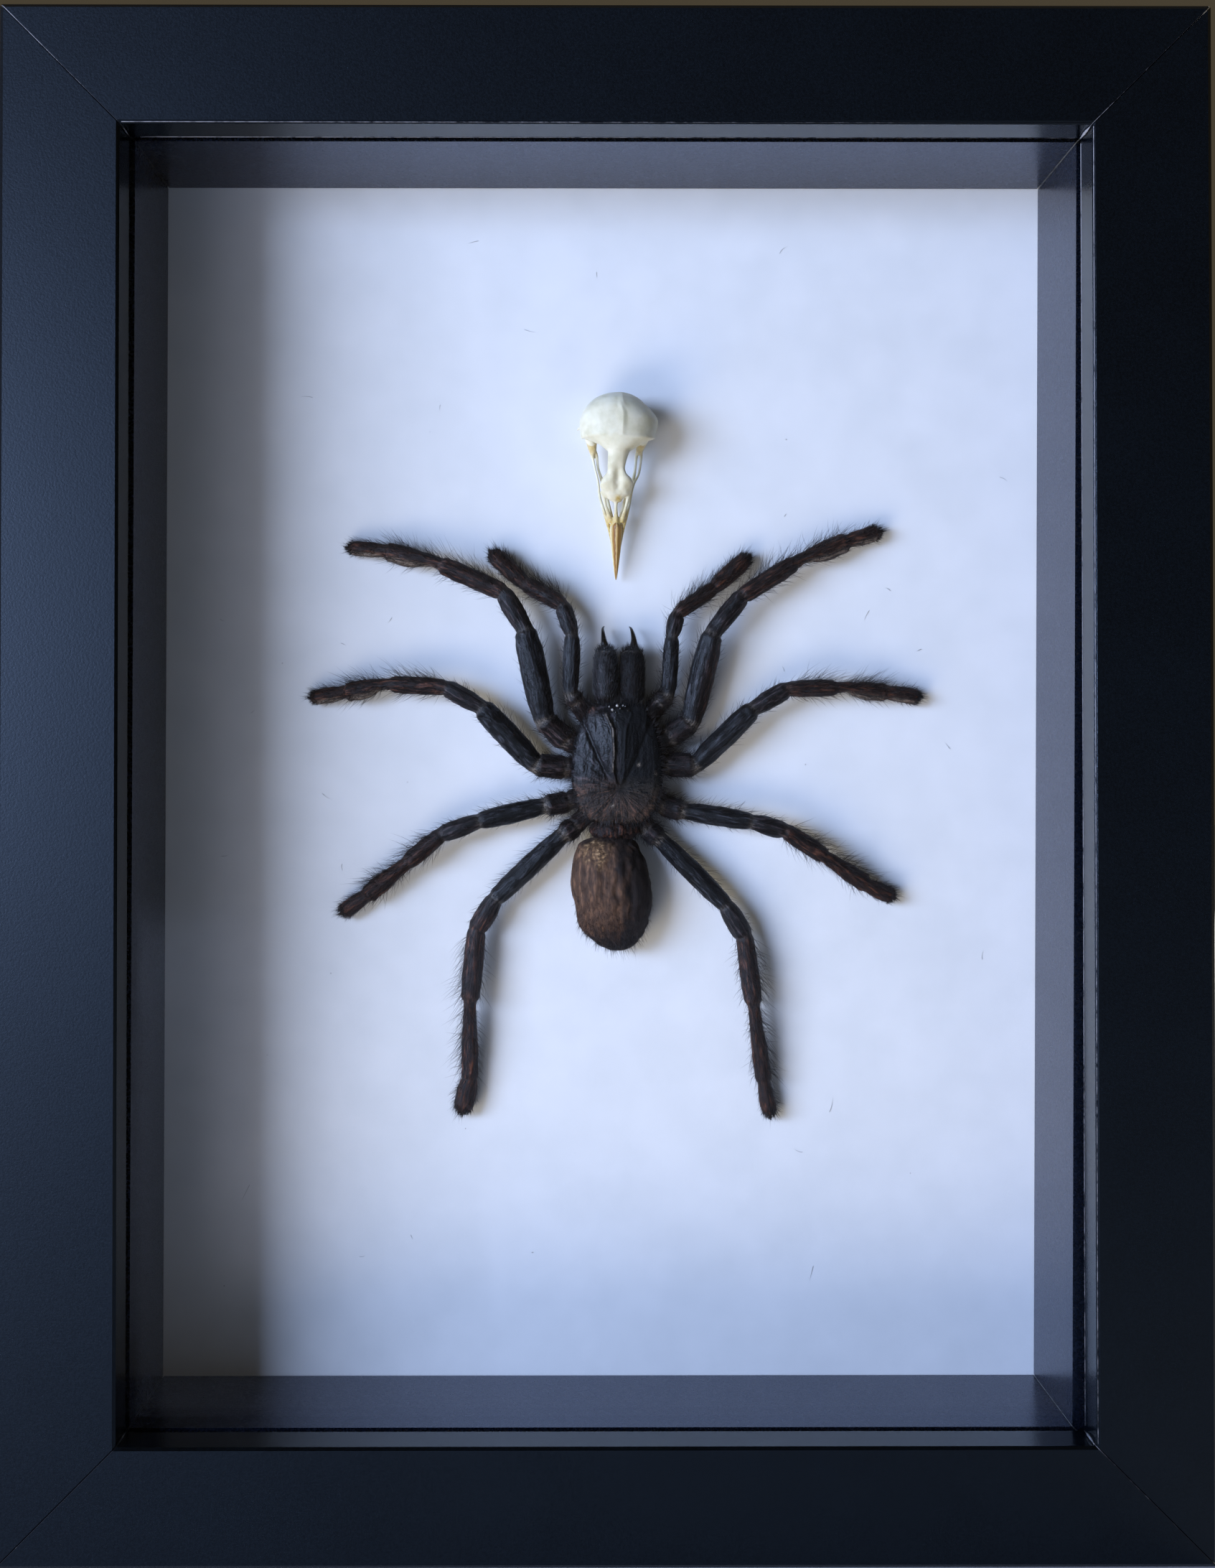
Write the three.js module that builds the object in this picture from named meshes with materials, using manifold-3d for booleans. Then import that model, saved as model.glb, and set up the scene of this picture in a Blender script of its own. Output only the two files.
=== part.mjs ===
// A dried tarantula and a small bird skull on a white card, in a deep black box frame under glass.
// Millimetres. +Z is up and the glass faces -Y. The origin is the middle of the frame's foot.
import * as THREE from "three";
import { mergeVertices } from "three/addons/utils/BufferGeometryUtils.js";
import Module from "manifold-3d";

const wasm = await Module();
wasm.setup();

// ---- Driving dimensions ----

const GAP = 0.3; // between pieces that touch

// Moulding: a box profile with a lip at the front, for an opening of 170 x 230.
const OPENING = { width: 170, height: 230 };
const FACE = 21; // outer edge to opening
const WALL = 13.5; // thickness behind the lip
const DEPTH = 45; // front to back
const LIP = 7; // thickness of the lip
const OUTER_EDGE = 0.8; // chamfer round the outside of the face
const ARRIS = 0.5; // chamfer round the opening
const MITRE_CLEARANCE = 0.2; // taken off each mitred end

// What lies in the rebate, from the front.
const GLASS = 2;
const SPACER = { depth: 25.1, thick: 6 };
const CARD = 1.5;
const PANEL = 3;
const REBATE_PLAY = 1; // round the pane, card and panel

// Inner corners of the loose spacer, from the middle of the opening. Its right strip stands askew.
const SPACER_CORNERS = {
  topLeft: [-84.6, 115.2],
  topRight: [85.0, 115.2],
  bottomRight: [83.5, -115.3],
  bottomLeft: [-85.0, -115.3],
};

// Steel on the back.
const TAB = { width: 8, length: 13, thick: 0.8 };
const TAB_PLACES = { acrossRail: 45, upStile: 62 };
const HANGER = { width: 46, height: 10, ear: 9, rise: 2, thick: 1, below: 22 };
const HANGER_TEETH = { count: 7, pitch: 3.2, depth: 2 };
const RIVET = { radius: 2.1, head: 0.9 };

// Middle of the spider's carapace, and the widest place of the skull, from the frame's foot.
const SPIDER = { x: 3.0, z: 137.5 };
const SKULL = { x: 3.0, z: 206.0 };

// ---- Worked out from those ----

const WIDTH = OPENING.width + 2 * FACE;
const HEIGHT = OPENING.height + 2 * FACE;
const OPENING_MIDDLE = HEIGHT / 2;
const FRONT = -DEPTH / 2;
const BACK = DEPTH / 2;
const LIP_BACK = FRONT + LIP;
const GLASS_FRONT = LIP_BACK + GAP;
const SPACER_FRONT = GLASS_FRONT + GLASS + GAP;
const CARD_FRONT = SPACER_FRONT + SPACER.depth + GAP;
const PANEL_FRONT = CARD_FRONT + CARD + GAP;
const PANEL_BACK = PANEL_FRONT + PANEL;
const SHEET_WIDTH = WIDTH - 2 * (WALL + REBATE_PLAY);
const SHEET_HEIGHT = HEIGHT - 2 * (WALL + REBATE_PLAY);

// ---- Finishes ----

const finish = (color, roughness, metalness = 0) =>
  new THREE.MeshStandardMaterial({ color, roughness, metalness });

const FOIL = () => finish("#17181b", 0.55);
const CLEAR_GLASS = () => finish("#dfe7e6", 0.05);
const WHITE_CARD = () => finish("#dfe2e8", 0.9);
const HARDBOARD = () => finish("#6f5137", 0.8);
const STEEL = () => finish("#a9abac", 0.4, 1);
const BRASSED = () => finish("#a58a52", 0.35, 1);
const CUTICLE = () => finish("#1b1a1f", 0.6);
const ABDOMEN_SKIN = () => finish("#4e3931", 0.85);
const FANG = () => finish("#0b0a0c", 0.2);
const BONE = () => finish("#dcdccb", 0.6);
const HORN = () => finish("#b27a3e", 0.45);

// ---- Ways of making a solid ----

const framed = new THREE.Group();

function add(name, geometry, material) {
  const mesh = new THREE.Mesh(geometry, material);
  mesh.name = name;
  framed.add(mesh);
  return mesh;
}

function middleOf(points) {
  const sum = new THREE.Vector3();
  points.forEach((point) => sum.add(point));
  return sum.divideScalar(points.length);
}

// Six times the volume that the faces enclose, negative where they point inwards.
function signedVolume(points, faces) {
  let sum = 0;
  for (let i = 0; i < faces.length; i += 3) {
    const [a, b, c] = [points[faces[i]], points[faces[i + 1]], points[faces[i + 2]]];
    sum += a.dot(new THREE.Vector3().crossVectors(b, c));
  }
  return sum;
}

function closedGeometry(points, faces) {
  const outward = signedVolume(points, faces) > 0 ? faces : faces.toReversed();
  return new THREE.BufferGeometry().setFromPoints(points).setIndex(outward);
}

// A closed skin through rings of points, with a fan over each end.
function loft(rings) {
  const count = rings[0].length;
  const points = [middleOf(rings[0]), ...rings.flat(), middleOf(rings.at(-1))];
  const end = points.length - 1;
  const faces = [];
  for (let i = 0; i < count; i++) {
    const next = (i + 1) % count;
    faces.push(0, 1 + next, 1 + i);
    for (let ring = 0; ring < rings.length - 1; ring++) {
      const near = 1 + ring * count;
      const far = near + count;
      faces.push(near + i, near + next, far + next);
      faces.push(near + i, far + next, far + i);
    }
    faces.push(end, end - count + i, end - count + next);
  }
  return closedGeometry(points, faces);
}

function toSolid(geometry) {
  const bare = geometry.clone();
  bare.deleteAttribute("normal");
  bare.deleteAttribute("uv");
  const merged = mergeVertices(bare, 1e-4);
  return new wasm.Manifold(
    new wasm.Mesh({
      numProp: 3,
      vertProperties: merged.attributes.position.array,
      triVerts: new Uint32Array(merged.index.array),
    }),
  );
}

function toGeometry(solid) {
  const { vertProperties, triVerts } = solid.getMesh();
  return new THREE.BufferGeometry()
    .setAttribute("position", new THREE.BufferAttribute(vertProperties, 3))
    .setIndex(new THREE.BufferAttribute(triVerts, 1));
}

const joined = (geometries) =>
  toGeometry(geometries.map(toSolid).reduce((whole, piece) => whole.add(piece)));

// A flat piece: an outline in X and Z, with its front face at y and its thickness behind that.
function plate(outline, y, thick) {
  const shape = new THREE.Shape(outline.map(([x, z]) => new THREE.Vector2(x, z)));
  const geometry = new THREE.ExtrudeGeometry(shape, { depth: thick, bevelEnabled: false });
  return geometry.rotateX(Math.PI / 2).translate(0, y + thick, 0);
}

function sheet(y, thick) {
  const [x, z] = [SHEET_WIDTH / 2, SHEET_HEIGHT / 2];
  const outline = [[-x, -z], [x, -z], [x, z], [-x, z]];
  return plate(outline, y, thick).translate(0, 0, OPENING_MIDDLE);
}

// ---- Frame ----

// The moulding's section: how far in from the outer edge, and how far back.
const MOULDING = [
  [OUTER_EDGE, FRONT],
  [FACE - ARRIS, FRONT],
  [FACE, FRONT + ARRIS],
  [FACE, LIP_BACK],
  [WALL, LIP_BACK],
  [WALL, BACK],
  [0, BACK],
  [0, FRONT + OUTER_EDGE],
];

// A length of moulding along X with its outer edge up, cut at 45 degrees at both ends.
function mitredMoulding(length) {
  const count = MOULDING.length;
  const points = [-1, 1].flatMap((side) =>
    MOULDING.map(([inwards, y]) => {
      const x = side * (length / 2 - inwards - MITRE_CLEARANCE);
      return new THREE.Vector3(x, y, -inwards);
    }),
  );
  const section = MOULDING.map(([inwards, y]) => new THREE.Vector2(inwards, y));
  const faces = [];
  for (const [a, b, c] of THREE.ShapeUtils.triangulateShape(section, [])) {
    faces.push(a, b, c);
    faces.push(count + c, count + b, count + a);
  }
  for (let i = 0; i < count; i++) {
    const next = (i + 1) % count;
    faces.push(next, i, count + i);
    faces.push(next, count + i, count + next);
  }
  return closedGeometry(points, faces);
}

function addMoulding(name, length, turn, x, z) {
  const rail = add(name, mitredMoulding(length), FOIL());
  rail.rotation.y = turn;
  rail.position.set(x, 0, z);
}

function addFrame() {
  addMoulding("frame_rail_top", WIDTH, 0, 0, HEIGHT);
  addMoulding("frame_rail_bottom", WIDTH, Math.PI, 0, 0);
  addMoulding("frame_stile_left", HEIGHT, -Math.PI / 2, -WIDTH / 2, HEIGHT / 2);
  addMoulding("frame_stile_right", HEIGHT, Math.PI / 2, WIDTH / 2, HEIGHT / 2);
}

// One strip of the spacer between two inner corners, mitred to the outer corners beyond them.
function spacerStrip(from, to) {
  const outer = ([x, z]) => [x + Math.sign(x) * SPACER.thick, z + Math.sign(z) * SPACER.thick];
  const along = new THREE.Vector2(to[0] - from[0], to[1] - from[1]).normalize();
  const held = ([x, z], side) => [
    x + side * MITRE_CLEARANCE * along.x,
    z + side * MITRE_CLEARANCE * along.y,
  ];
  const outline = [held(from, 1), held(to, -1), held(outer(to), -1), held(outer(from), 1)];
  return plate(outline, SPACER_FRONT, SPACER.depth).translate(0, 0, OPENING_MIDDLE);
}

function addSpacer() {
  const { topLeft, topRight, bottomRight, bottomLeft } = SPACER_CORNERS;
  add("spacer_top", spacerStrip(topLeft, topRight), FOIL());
  add("spacer_right", spacerStrip(topRight, bottomRight), FOIL());
  add("spacer_bottom", spacerStrip(bottomRight, bottomLeft), FOIL());
  add("spacer_left", spacerStrip(bottomLeft, topLeft), FOIL());
}

function addSheets() {
  add("glass_pane", sheet(GLASS_FRONT, GLASS), CLEAR_GLASS());
  add("backing_card", sheet(CARD_FRONT, CARD), WHITE_CARD());
  add("back_panel", sheet(PANEL_FRONT, PANEL), HARDBOARD());
}

// ---- Steel on the back ----

// A bendable point that holds the panel in, drawn with its root at the origin and its tip down.
function retainingTab() {
  const [half, shoulder] = [TAB.width / 2, TAB.length * 0.55];
  const outline = [
    [-half, 0],
    [-half, -shoulder],
    [-half * 0.3, -TAB.length],
    [half * 0.3, -TAB.length],
    [half, -shoulder],
    [half, 0],
  ];
  return plate(outline, PANEL_BACK + GAP, TAB.thick);
}

function addTabs() {
  const rootX = WIDTH / 2 - WALL - GAP;
  const rootZ = HEIGHT / 2 - WALL - GAP;
  const { acrossRail, upStile } = TAB_PLACES;
  const places = [
    [-acrossRail, rootZ, 0],
    [acrossRail, rootZ, 0],
    [rootX, upStile, Math.PI / 2],
    [rootX, -upStile, Math.PI / 2],
    [acrossRail, -rootZ, Math.PI],
    [-acrossRail, -rootZ, Math.PI],
    [-rootX, -upStile, -Math.PI / 2],
    [-rootX, upStile, -Math.PI / 2],
  ];
  places.forEach(([x, z, turn], i) => {
    const tab = add(`retaining_tab_${i + 1}`, retainingTab(), STEEL());
    tab.rotation.y = turn;
    tab.position.set(x, 0, OPENING_MIDDLE + z);
  });
}

// A strip bent like a hat, with teeth along the lower edge of its raised middle.
function hangingPlate() {
  const { width, height, ear, rise, thick } = HANGER;
  const [end, bend] = [width / 2, width / 2 - ear];
  const section = [
    [-end, 0],
    [-bend, 0],
    [-bend + rise, rise],
    [bend - rise, rise],
    [bend, 0],
    [end, 0],
    [end, thick],
    [bend + thick * 0.4, thick],
    [bend - rise + thick * 0.4, rise + thick],
    [-bend + rise - thick * 0.4, rise + thick],
    [-bend - thick * 0.4, thick],
    [-end, thick],
  ];
  const shape = new THREE.Shape(section.map(([x, y]) => new THREE.Vector2(x, y)));
  const strip = new THREE.ExtrudeGeometry(shape, { depth: height, bevelEnabled: false });
  let plateSolid = toSolid(strip);
  const { count, pitch, depth } = HANGER_TEETH;
  for (let i = 0; i < count; i++) {
    const x = (i - (count - 1) / 2) * pitch;
    const notch = plate([[x - pitch * 0.4, -1], [x + pitch * 0.4, -1], [x, depth]], 0, rise * 3);
    plateSolid = plateSolid.subtract(toSolid(notch));
  }
  return toGeometry(plateSolid);
}

function addHanger() {
  const y = PANEL_BACK + GAP;
  const z = HEIGHT - WALL - HANGER.below;
  add("hanging_plate", hangingPlate(), STEEL()).position.set(0, y, z);
  for (const [name, side] of [["left", -1], ["right", 1]]) {
    const head = new THREE.CylinderGeometry(RIVET.radius * 0.75, RIVET.radius, RIVET.head, 12);
    const rivet = add(`hanger_rivet_${name}`, head, BRASSED());
    const x = side * (HANGER.width - HANGER.ear) * 0.5;
    rivet.position.set(x, y + HANGER.thick + GAP + RIVET.head / 2, z + HANGER.height / 2);
  }
}

// ---- Things on the card ----

// A place on the card: across, up and out from it, measured from a specimen's own middle.
const onCard = (specimen, across, up, out) =>
  new THREE.Vector3(specimen.x + across, CARD_FRONT - out, specimen.z + up);

const OUT_OF_CARD = new THREE.Vector3(0, -1, 0);

// An oval ring of points round a centre, square to a direction; high is its size out of the card.
function ovalRing(centre, direction, wide, high, sides) {
  const side = new THREE.Vector3().crossVectors(direction, OUT_OF_CARD).normalize();
  const out = new THREE.Vector3().crossVectors(side, direction).normalize();
  return Array.from({ length: sides }, (_, i) => {
    const angle = (2 * Math.PI * i) / sides;
    return centre
      .clone()
      .addScaledVector(side, (wide / 2) * Math.cos(angle))
      .addScaledVector(out, (high / 2) * Math.sin(angle));
  });
}

// ---- Spider's limbs ----

const LIMB_SIDES = 10;
const LIMB_FLATNESS = 0.92;
const BEND_REACH = 0.15; // part of a segment that turns with the joint at its end

// How each segment swells along its length: fraction along, share of its width.
const SEGMENT_FORMS = {
  coxa: [[0, 0.8], [0.4, 1], [0.9, 1]],
  trochanter: [[0.15, 1], [0.8, 0.94]],
  femur: [[0.03, 0.8], [0.2, 0.98], [0.5, 1.04], [0.8, 1], [0.96, 0.84]],
  patella: [[0.08, 0.88], [0.35, 1.04], [0.7, 1.05], [0.95, 0.9]],
  tibia: [[0.06, 0.94], [0.3, 1], [0.75, 1.03], [0.96, 0.88]],
  metatarsus: [[0.05, 0.76], [0.3, 0.84], [0.6, 1.04], [0.92, 1]],
  tarsus: [[0.06, 0.88], [0.35, 1.04], [0.75, 1.04], [0.93, 0.78], [1, 0.42]],
};
const LEG_SEGMENTS = ["coxa", "trochanter", "femur", "patella", "tibia", "metatarsus", "tarsus"];
const PALP_SEGMENTS = ["coxa", "trochanter", "femur", "patella", "tibia", "tarsus"];

// Each limb: its joints from the body to the tip, as [across, up, out], and a width per segment.
const LIMBS = {
  leg_1_left: {
    joints: [
      [-5.6, 4.4, 3.1], [-10, 5.9, 3.5], [-14.3, 9.9, 4.2], [-17.7, 26.6, 5.6],
      [-22.9, 35.3, 5.6], [-34.7, 40.2, 4.4], [-44.9, 42.8, 2.8], [-53, 43.6, 1.9],
    ],
    widths: [3.2, 3.8, 5, 3.7, 3.6, 3.5, 2.8],
  },
  leg_2_left: {
    joints: [
      [-5.6, 0.9, 3.1], [-10, 1.1, 3.5], [-15.3, 2.1, 4.2], [-26.1, 12.4, 5.4],
      [-33.2, 16.2, 5.4], [-43.9, 16.8, 4.4], [-52.9, 15.5, 2.8], [-60.3, 14.4, 1.9],
    ],
    widths: [3.2, 3.8, 4.6, 3.5, 3.3, 3.4, 2.8],
  },
  leg_3_left: {
    joints: [
      [-5.6, -3.2, 3.1], [-9.6, -5.8, 3.5], [-14.2, -6.5, 4.2], [-26.8, -9.4, 5.2],
      [-34, -12, 5.2], [-40.6, -17.5, 4.2], [-48.6, -23.9, 2.8], [-54.2, -27.6, 1.9],
    ],
    widths: [2.8, 3.5, 3.7, 3.4, 3.3, 3.4, 3],
  },
  leg_4_left: {
    joints: [
      [-4.4, -6.5, 3.1], [-8.4, -10.5, 3.5], [-10.4, -11.5, 4], [-23, -23.9, 4.2],
      [-27.3, -30.4, 3.9], [-28.5, -43.9, 4.1], [-28.6, -59, 2.5], [-30.3, -66.3, 2],
    ],
    widths: [2.8, 3.4, 3.9, 3.8, 3.8, 3.1, 3.7],
  },
  leg_1_right: {
    joints: [
      [5.2, 4.6, 3.1], [9.8, 6.7, 3.5], [13.9, 9.5, 4.2], [17.8, 26.1, 5.6],
      [23.5, 34.9, 5.6], [34.1, 40.5, 4.4], [44.3, 44.6, 2.8], [51.4, 46.7, 1.9],
    ],
    widths: [3.2, 3.8, 4.7, 3.6, 3.5, 3.6, 3],
  },
  leg_2_right: {
    joints: [
      [5.2, 1, 3.1], [9.2, 1.7, 3.5], [14.1, 2.3, 4.2], [25.5, 12.1, 5.4],
      [32.4, 15.9, 5.4], [42.2, 16.4, 4.4], [52.2, 15.5, 2.8], [59.5, 14.5, 1.9],
    ],
    widths: [3.2, 3.8, 4.2, 3.5, 3.2, 3.2, 2.9],
  },
  leg_3_right: {
    joints: [
      [5.2, -3, 3.1], [8.3, -6.3, 3.5], [11.6, -6.9, 4.2], [25.1, -9.5, 5.2],
      [31.9, -11.3, 5.2], [39.5, -16, 4.2], [48.1, -21.5, 2.8], [54.2, -24.5, 1.9],
    ],
    widths: [2.8, 3.5, 3.7, 3.4, 3.3, 3.3, 3],
  },
  leg_4_right: {
    joints: [
      [3.4, -7.1, 3.1], [5.5, -11, 3.5], [7.3, -12.7, 4], [19.7, -24.8, 4.2],
      [24.2, -31.6, 3.9], [25.9, -44.6, 4.1], [28.2, -60, 2.5], [29.7, -67, 2],
    ],
    widths: [2.8, 3.3, 3.8, 3.8, 3.6, 3, 2.8],
  },
  palp_left: {
    joints: [
      [-5.2, 9.2, 3.1], [-8, 13.4, 3.8], [-9.3, 14.8, 4.4], [-8.9, 26.3, 5],
      [-11, 32.7, 4.4], [-19.2, 37.6, 3], [-24.9, 43, 2.2],
    ],
    widths: [2.8, 3, 3.2, 3.2, 3.2, 3.3],
  },
  palp_right: {
    joints: [
      [5, 9.2, 3.1], [7.9, 13.4, 3.8], [9.6, 14.6, 4.4], [10.2, 25.9, 5],
      [11.9, 31.4, 4.4], [19.7, 36.8, 3], [25.6, 42.4, 2.2],
    ],
    widths: [2.8, 3, 3, 2.9, 2.9, 3.3],
  },
};

function limbGeometry({ joints, widths }, segments) {
  const places = joints.map((joint) => onCard(SPIDER, ...joint));
  const headings = segments.map((_, i) =>
    new THREE.Vector3().subVectors(places[i + 1], places[i]).normalize(),
  );
  const rings = segments.flatMap((segment, i) =>
    SEGMENT_FORMS[segment].map(([along, share]) => {
      const centre = new THREE.Vector3().lerpVectors(places[i], places[i + 1], along);
      const heading = headings[i].clone();
      if (along < BEND_REACH && i > 0) heading.add(headings[i - 1]);
      if (along > 1 - BEND_REACH && i < segments.length - 1) heading.add(headings[i + 1]);
      const wide = widths[i] * share;
      return ovalRing(centre, heading.normalize(), wide, wide * LIMB_FLATNESS, LIMB_SIDES);
    }),
  );
  return loft(rings);
}

function addLimbs() {
  for (const [name, limb] of Object.entries(LIMBS)) {
    const segments = name.startsWith("palp") ? PALP_SEGMENTS : LEG_SEGMENTS;
    add(name, limbGeometry(limb, segments), CUTICLE());
  }
}

// ---- Spider's body ----

// Half of the carapace's outline, from the front of the head to the back: [half width, up].
const CARAPACE_MIDDLE = -0.3;
const CARAPACE_HALF = [
  [0, 13.3], [2.6, 13.2], [5, 12.9], [6.4, 10.8], [7.5, 8.6], [8.4, 5], [8.75, 1],
  [8.6, -2.9], [8, -5.4], [6.9, -7.9], [4.7, -9.6], [2.4, -10], [0, -9.9],
];
// Rings from the underside of the sternum to the top of the carapace: [share of outline, out].
const PROSOMA_LEVELS = [
  [0.4, 0.5], [0.5, 1.2], [0.5, 5.3], [0.95, 5.6], [1, 6.1],
  [0.95, 7], [0.8, 7.9], [0.55, 8.4], [0.25, 8.6],
];
const HEAD = { up: 6.5, reach: 6.5, halfWidth: 4, rise: 1 };

// The head is a low swelling along the middle of the carapace's front.
function headRise(across, up) {
  const alongHead = Math.min(1, Math.abs(up - HEAD.up) / HEAD.reach);
  const acrossHead = Math.min(1, Math.abs(across) / HEAD.halfWidth);
  return HEAD.rise * (1 - alongHead ** 2) * (1 - acrossHead ** 2);
}

function prosomaGeometry() {
  const otherHalf = CARAPACE_HALF.slice(1, -1).reverse().map(([half, up]) => [-half, up]);
  const outline = [...CARAPACE_HALF, ...otherHalf];
  const topLevel = PROSOMA_LEVELS.findIndex(([share]) => share === 1);
  const rings = PROSOMA_LEVELS.map(([share, out], level) =>
    outline.map(([half, up]) => {
      const [across, alongBody] = [half * share, 1.5 + (up - 1.5) * share];
      const rise = level > topLevel ? headRise(across, alongBody) : 0;
      return onCard(SPIDER, CARAPACE_MIDDLE + across, alongBody, out + rise);
    }),
  );
  return loft(rings);
}

// Slices of the abdomen from the waist back: [up, left edge, right edge, out].
const ABDOMEN_SLICES = [
  [-12.3, -3.4, 0.4, 5.4], [-12.8, -5.6, 2.4, 6.6], [-13.9, -7.7, 3.8, 8], [-16.2, -8.5, 4.9, 9.2],
  [-19.2, -9.1, 5.8, 9.9], [-22.2, -9, 6.3, 10.1], [-25.4, -8.3, 6.3, 9.7], [-28.3, -7.9, 5.8, 8.8],
  [-30.6, -6.9, 5, 7.6], [-32.4, -5.1, 4, 6.2], [-33.7, -3.1, 2.6, 4.9], [-34.3, -1.6, 1.1, 3.8],
];
const ABDOMEN_SIDES = 18;
const ABDOMEN_UNDERSIDE = 0.5;

function abdomenGeometry() {
  const rings = ABDOMEN_SLICES.map(([up, left, right, top], i) => {
    const lift = i === 0 || i === ABDOMEN_SLICES.length - 1 ? 1.6 : 0;
    const bottom = ABDOMEN_UNDERSIDE + lift;
    const centre = onCard(SPIDER, (left + right) / 2, up, (top + bottom) / 2);
    const backwards = new THREE.Vector3(0, 0, -1);
    return ovalRing(centre, backwards, right - left, top - bottom, ABDOMEN_SIDES);
  });
  return loft(rings);
}

// The jaws reach forward side by side, each with its fang at the end.
const CHELICERA = { from: 13.7, to: 23.6, wide: 4.8, high: 6.2, out: 4.6 };
const CHELICERA_FORM = [
  [0, 0.84], [0.12, 0.96], [0.35, 1], [0.65, 1], [0.84, 0.93], [0.95, 0.78], [1, 0.5],
];
const CHELICERA_SIDES = 12;
const CHELICERAE = { left: -2.5, right: 2.62 };
const FANGS = {
  left: [[-2.6, 23.9, 4.2], [-2.8, 25.2, 4.1], [-2.95, 26.6, 3.5], [-3, 28.1, 2.4]],
  right: [[2.95, 23.9, 4.2], [2.95, 25.2, 4.1], [2.75, 26.6, 3.5], [2.25, 28.1, 2.4]],
};
const FANG_WIDTHS = [1.15, 0.95, 0.65, 0.22];
const FANG_SIDES = 8;

function cheliceraGeometry(across) {
  const { from, to, wide, high, out } = CHELICERA;
  const forwards = new THREE.Vector3(0, 0, 1);
  const rings = CHELICERA_FORM.map(([along, share]) => {
    const centre = onCard(SPIDER, across, from + (to - from) * along, out - along * 0.4);
    return ovalRing(centre, forwards, wide * share, high * share, CHELICERA_SIDES);
  });
  return loft(rings);
}

// A tapering round rod through a few places on the card.
function rod(specimen, places, widths, sides) {
  const route = places.map((place) => onCard(specimen, ...place));
  const rings = route.map((centre, i) => {
    const before = route[Math.max(0, i - 1)];
    const after = route[Math.min(route.length - 1, i + 1)];
    const heading = new THREE.Vector3().subVectors(after, before).normalize();
    return ovalRing(centre, heading, widths[i], widths[i], sides);
  });
  return loft(rings);
}

function addSpiderBody() {
  add("carapace", prosomaGeometry(), CUTICLE());
  add("abdomen", abdomenGeometry(), ABDOMEN_SKIN());
  for (const side of ["left", "right"]) {
    add(`chelicera_${side}`, cheliceraGeometry(CHELICERAE[side]), CUTICLE());
    add(`fang_${side}`, rod(SPIDER, FANGS[side], FANG_WIDTHS, FANG_SIDES), FANG());
  }
}

// ---- Bird skull ----

// Slices from the back of the braincase to the front of the eyes: [up, middle, half width, out, half height].
const SKULL_SLICES = [
  [3.9, 0, 0.6, 6.2, 0.6], [3.5, 0, 2.7, 6.2, 2.8], [2.4, 0, 4.9, 6.2, 4.5], [0.8, 0, 6.6, 6.2, 5.4],
  [-1.2, 0, 7.5, 6.2, 5.7], [-3.2, 0, 7.4, 6.3, 5.6], [-5.1, 0, 6.6, 6.7, 5], [-5.8, -0.1, 5, 7.2, 4.2],
  [-6.8, -0.2, 3.1, 8.1, 2.9], [-8, -0.3, 2.1, 8.5, 1.7], [-9.8, -0.4, 1.75, 8.3, 1.1],
  [-12, -0.45, 2.1, 7.6, 1.2], [-13.4, -0.5, 3.1, 6.9, 1.5], [-14.8, -0.5, 3.1, 6, 1.6],
  [-16.2, -0.5, 2, 5.4, 1.3], [-16.8, -0.5, 0.9, 5.2, 0.8],
];
const SKULL_SIDES = 16;

// Thin bones either side, as mirrored routes: [across from the beak's line, up, out].
const BEAK_LINE = -0.4;
const SIDE_BONES = [
  { places: [[5.4, -4.6, 5], [4.5, -6.6, 3.4]], widths: [1.7, 1.5] }, // quadrate
  {
    places: [[4.5, -6.2, 3.5], [4.1, -9.3, 3.3], [3.3, -15.3, 3.5], [1.4, -20, 3.7]],
    widths: [0.9, 0.7, 0.7, 1],
  }, // jugal bar
  {
    places: [[3.9, -6.6, 3.2], [2.9, -10.4, 2.6], [2, -15.2, 2.7], [0.9, -20, 3.2]],
    widths: [1, 0.8, 0.9, 1],
  }, // palatine and pterygoid
  { places: [[2.3, -15.4, 5.5], [2.1, -17.8, 4.8], [1.1, -20.1, 4]], widths: [1.3, 0.9, 1.1] }, // nasal
];
const MIDDLE_BONES = [
  { places: [[-0.1, -16, 5.4], [-0.15, -18.4, 5], [0, -20.2, 4.4]], widths: [1, 0.7, 1] },
  { places: [[0, -19.6, 3.8], [0, -20.4, 3.8]], widths: [2.5, 2.6] },
];
const BONE_SIDES = 6;

// Slices of the horn sheath: [up, half width, out, half height].
const SHEATH_SLICES = [
  [-20.7, 1.35, 3.9, 1.15], [-23, 1.15, 3.6, 1.05], [-25.6, 0.9, 3.2, 0.85],
  [-28.2, 0.58, 2.7, 0.6], [-30.2, 0.3, 2.2, 0.36], [-31.3, 0.1, 1.9, 0.12],
];
const SHEATH_SIDES = 8;

function slice([up, middle, halfWidth, out, halfHeight], sides) {
  const forwards = new THREE.Vector3(0, 0, -1);
  const centre = onCard(SKULL, middle, up, out);
  return ovalRing(centre, forwards, 2 * halfWidth, 2 * halfHeight, sides);
}

function skullGeometry() {
  const braincase = loft(SKULL_SLICES.map((values) => slice(values, SKULL_SIDES)));
  const bones = [...MIDDLE_BONES.map((bone) => [bone, 1])];
  SIDE_BONES.forEach((bone) => bones.push([bone, -1], [bone, 1]));
  const rods = bones.map(([{ places, widths }, side]) => {
    const route = places.map(([across, up, out]) => [BEAK_LINE + side * across, up, out]);
    return rod(SKULL, route, widths, BONE_SIDES);
  });
  return joined([braincase, ...rods]);
}

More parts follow.
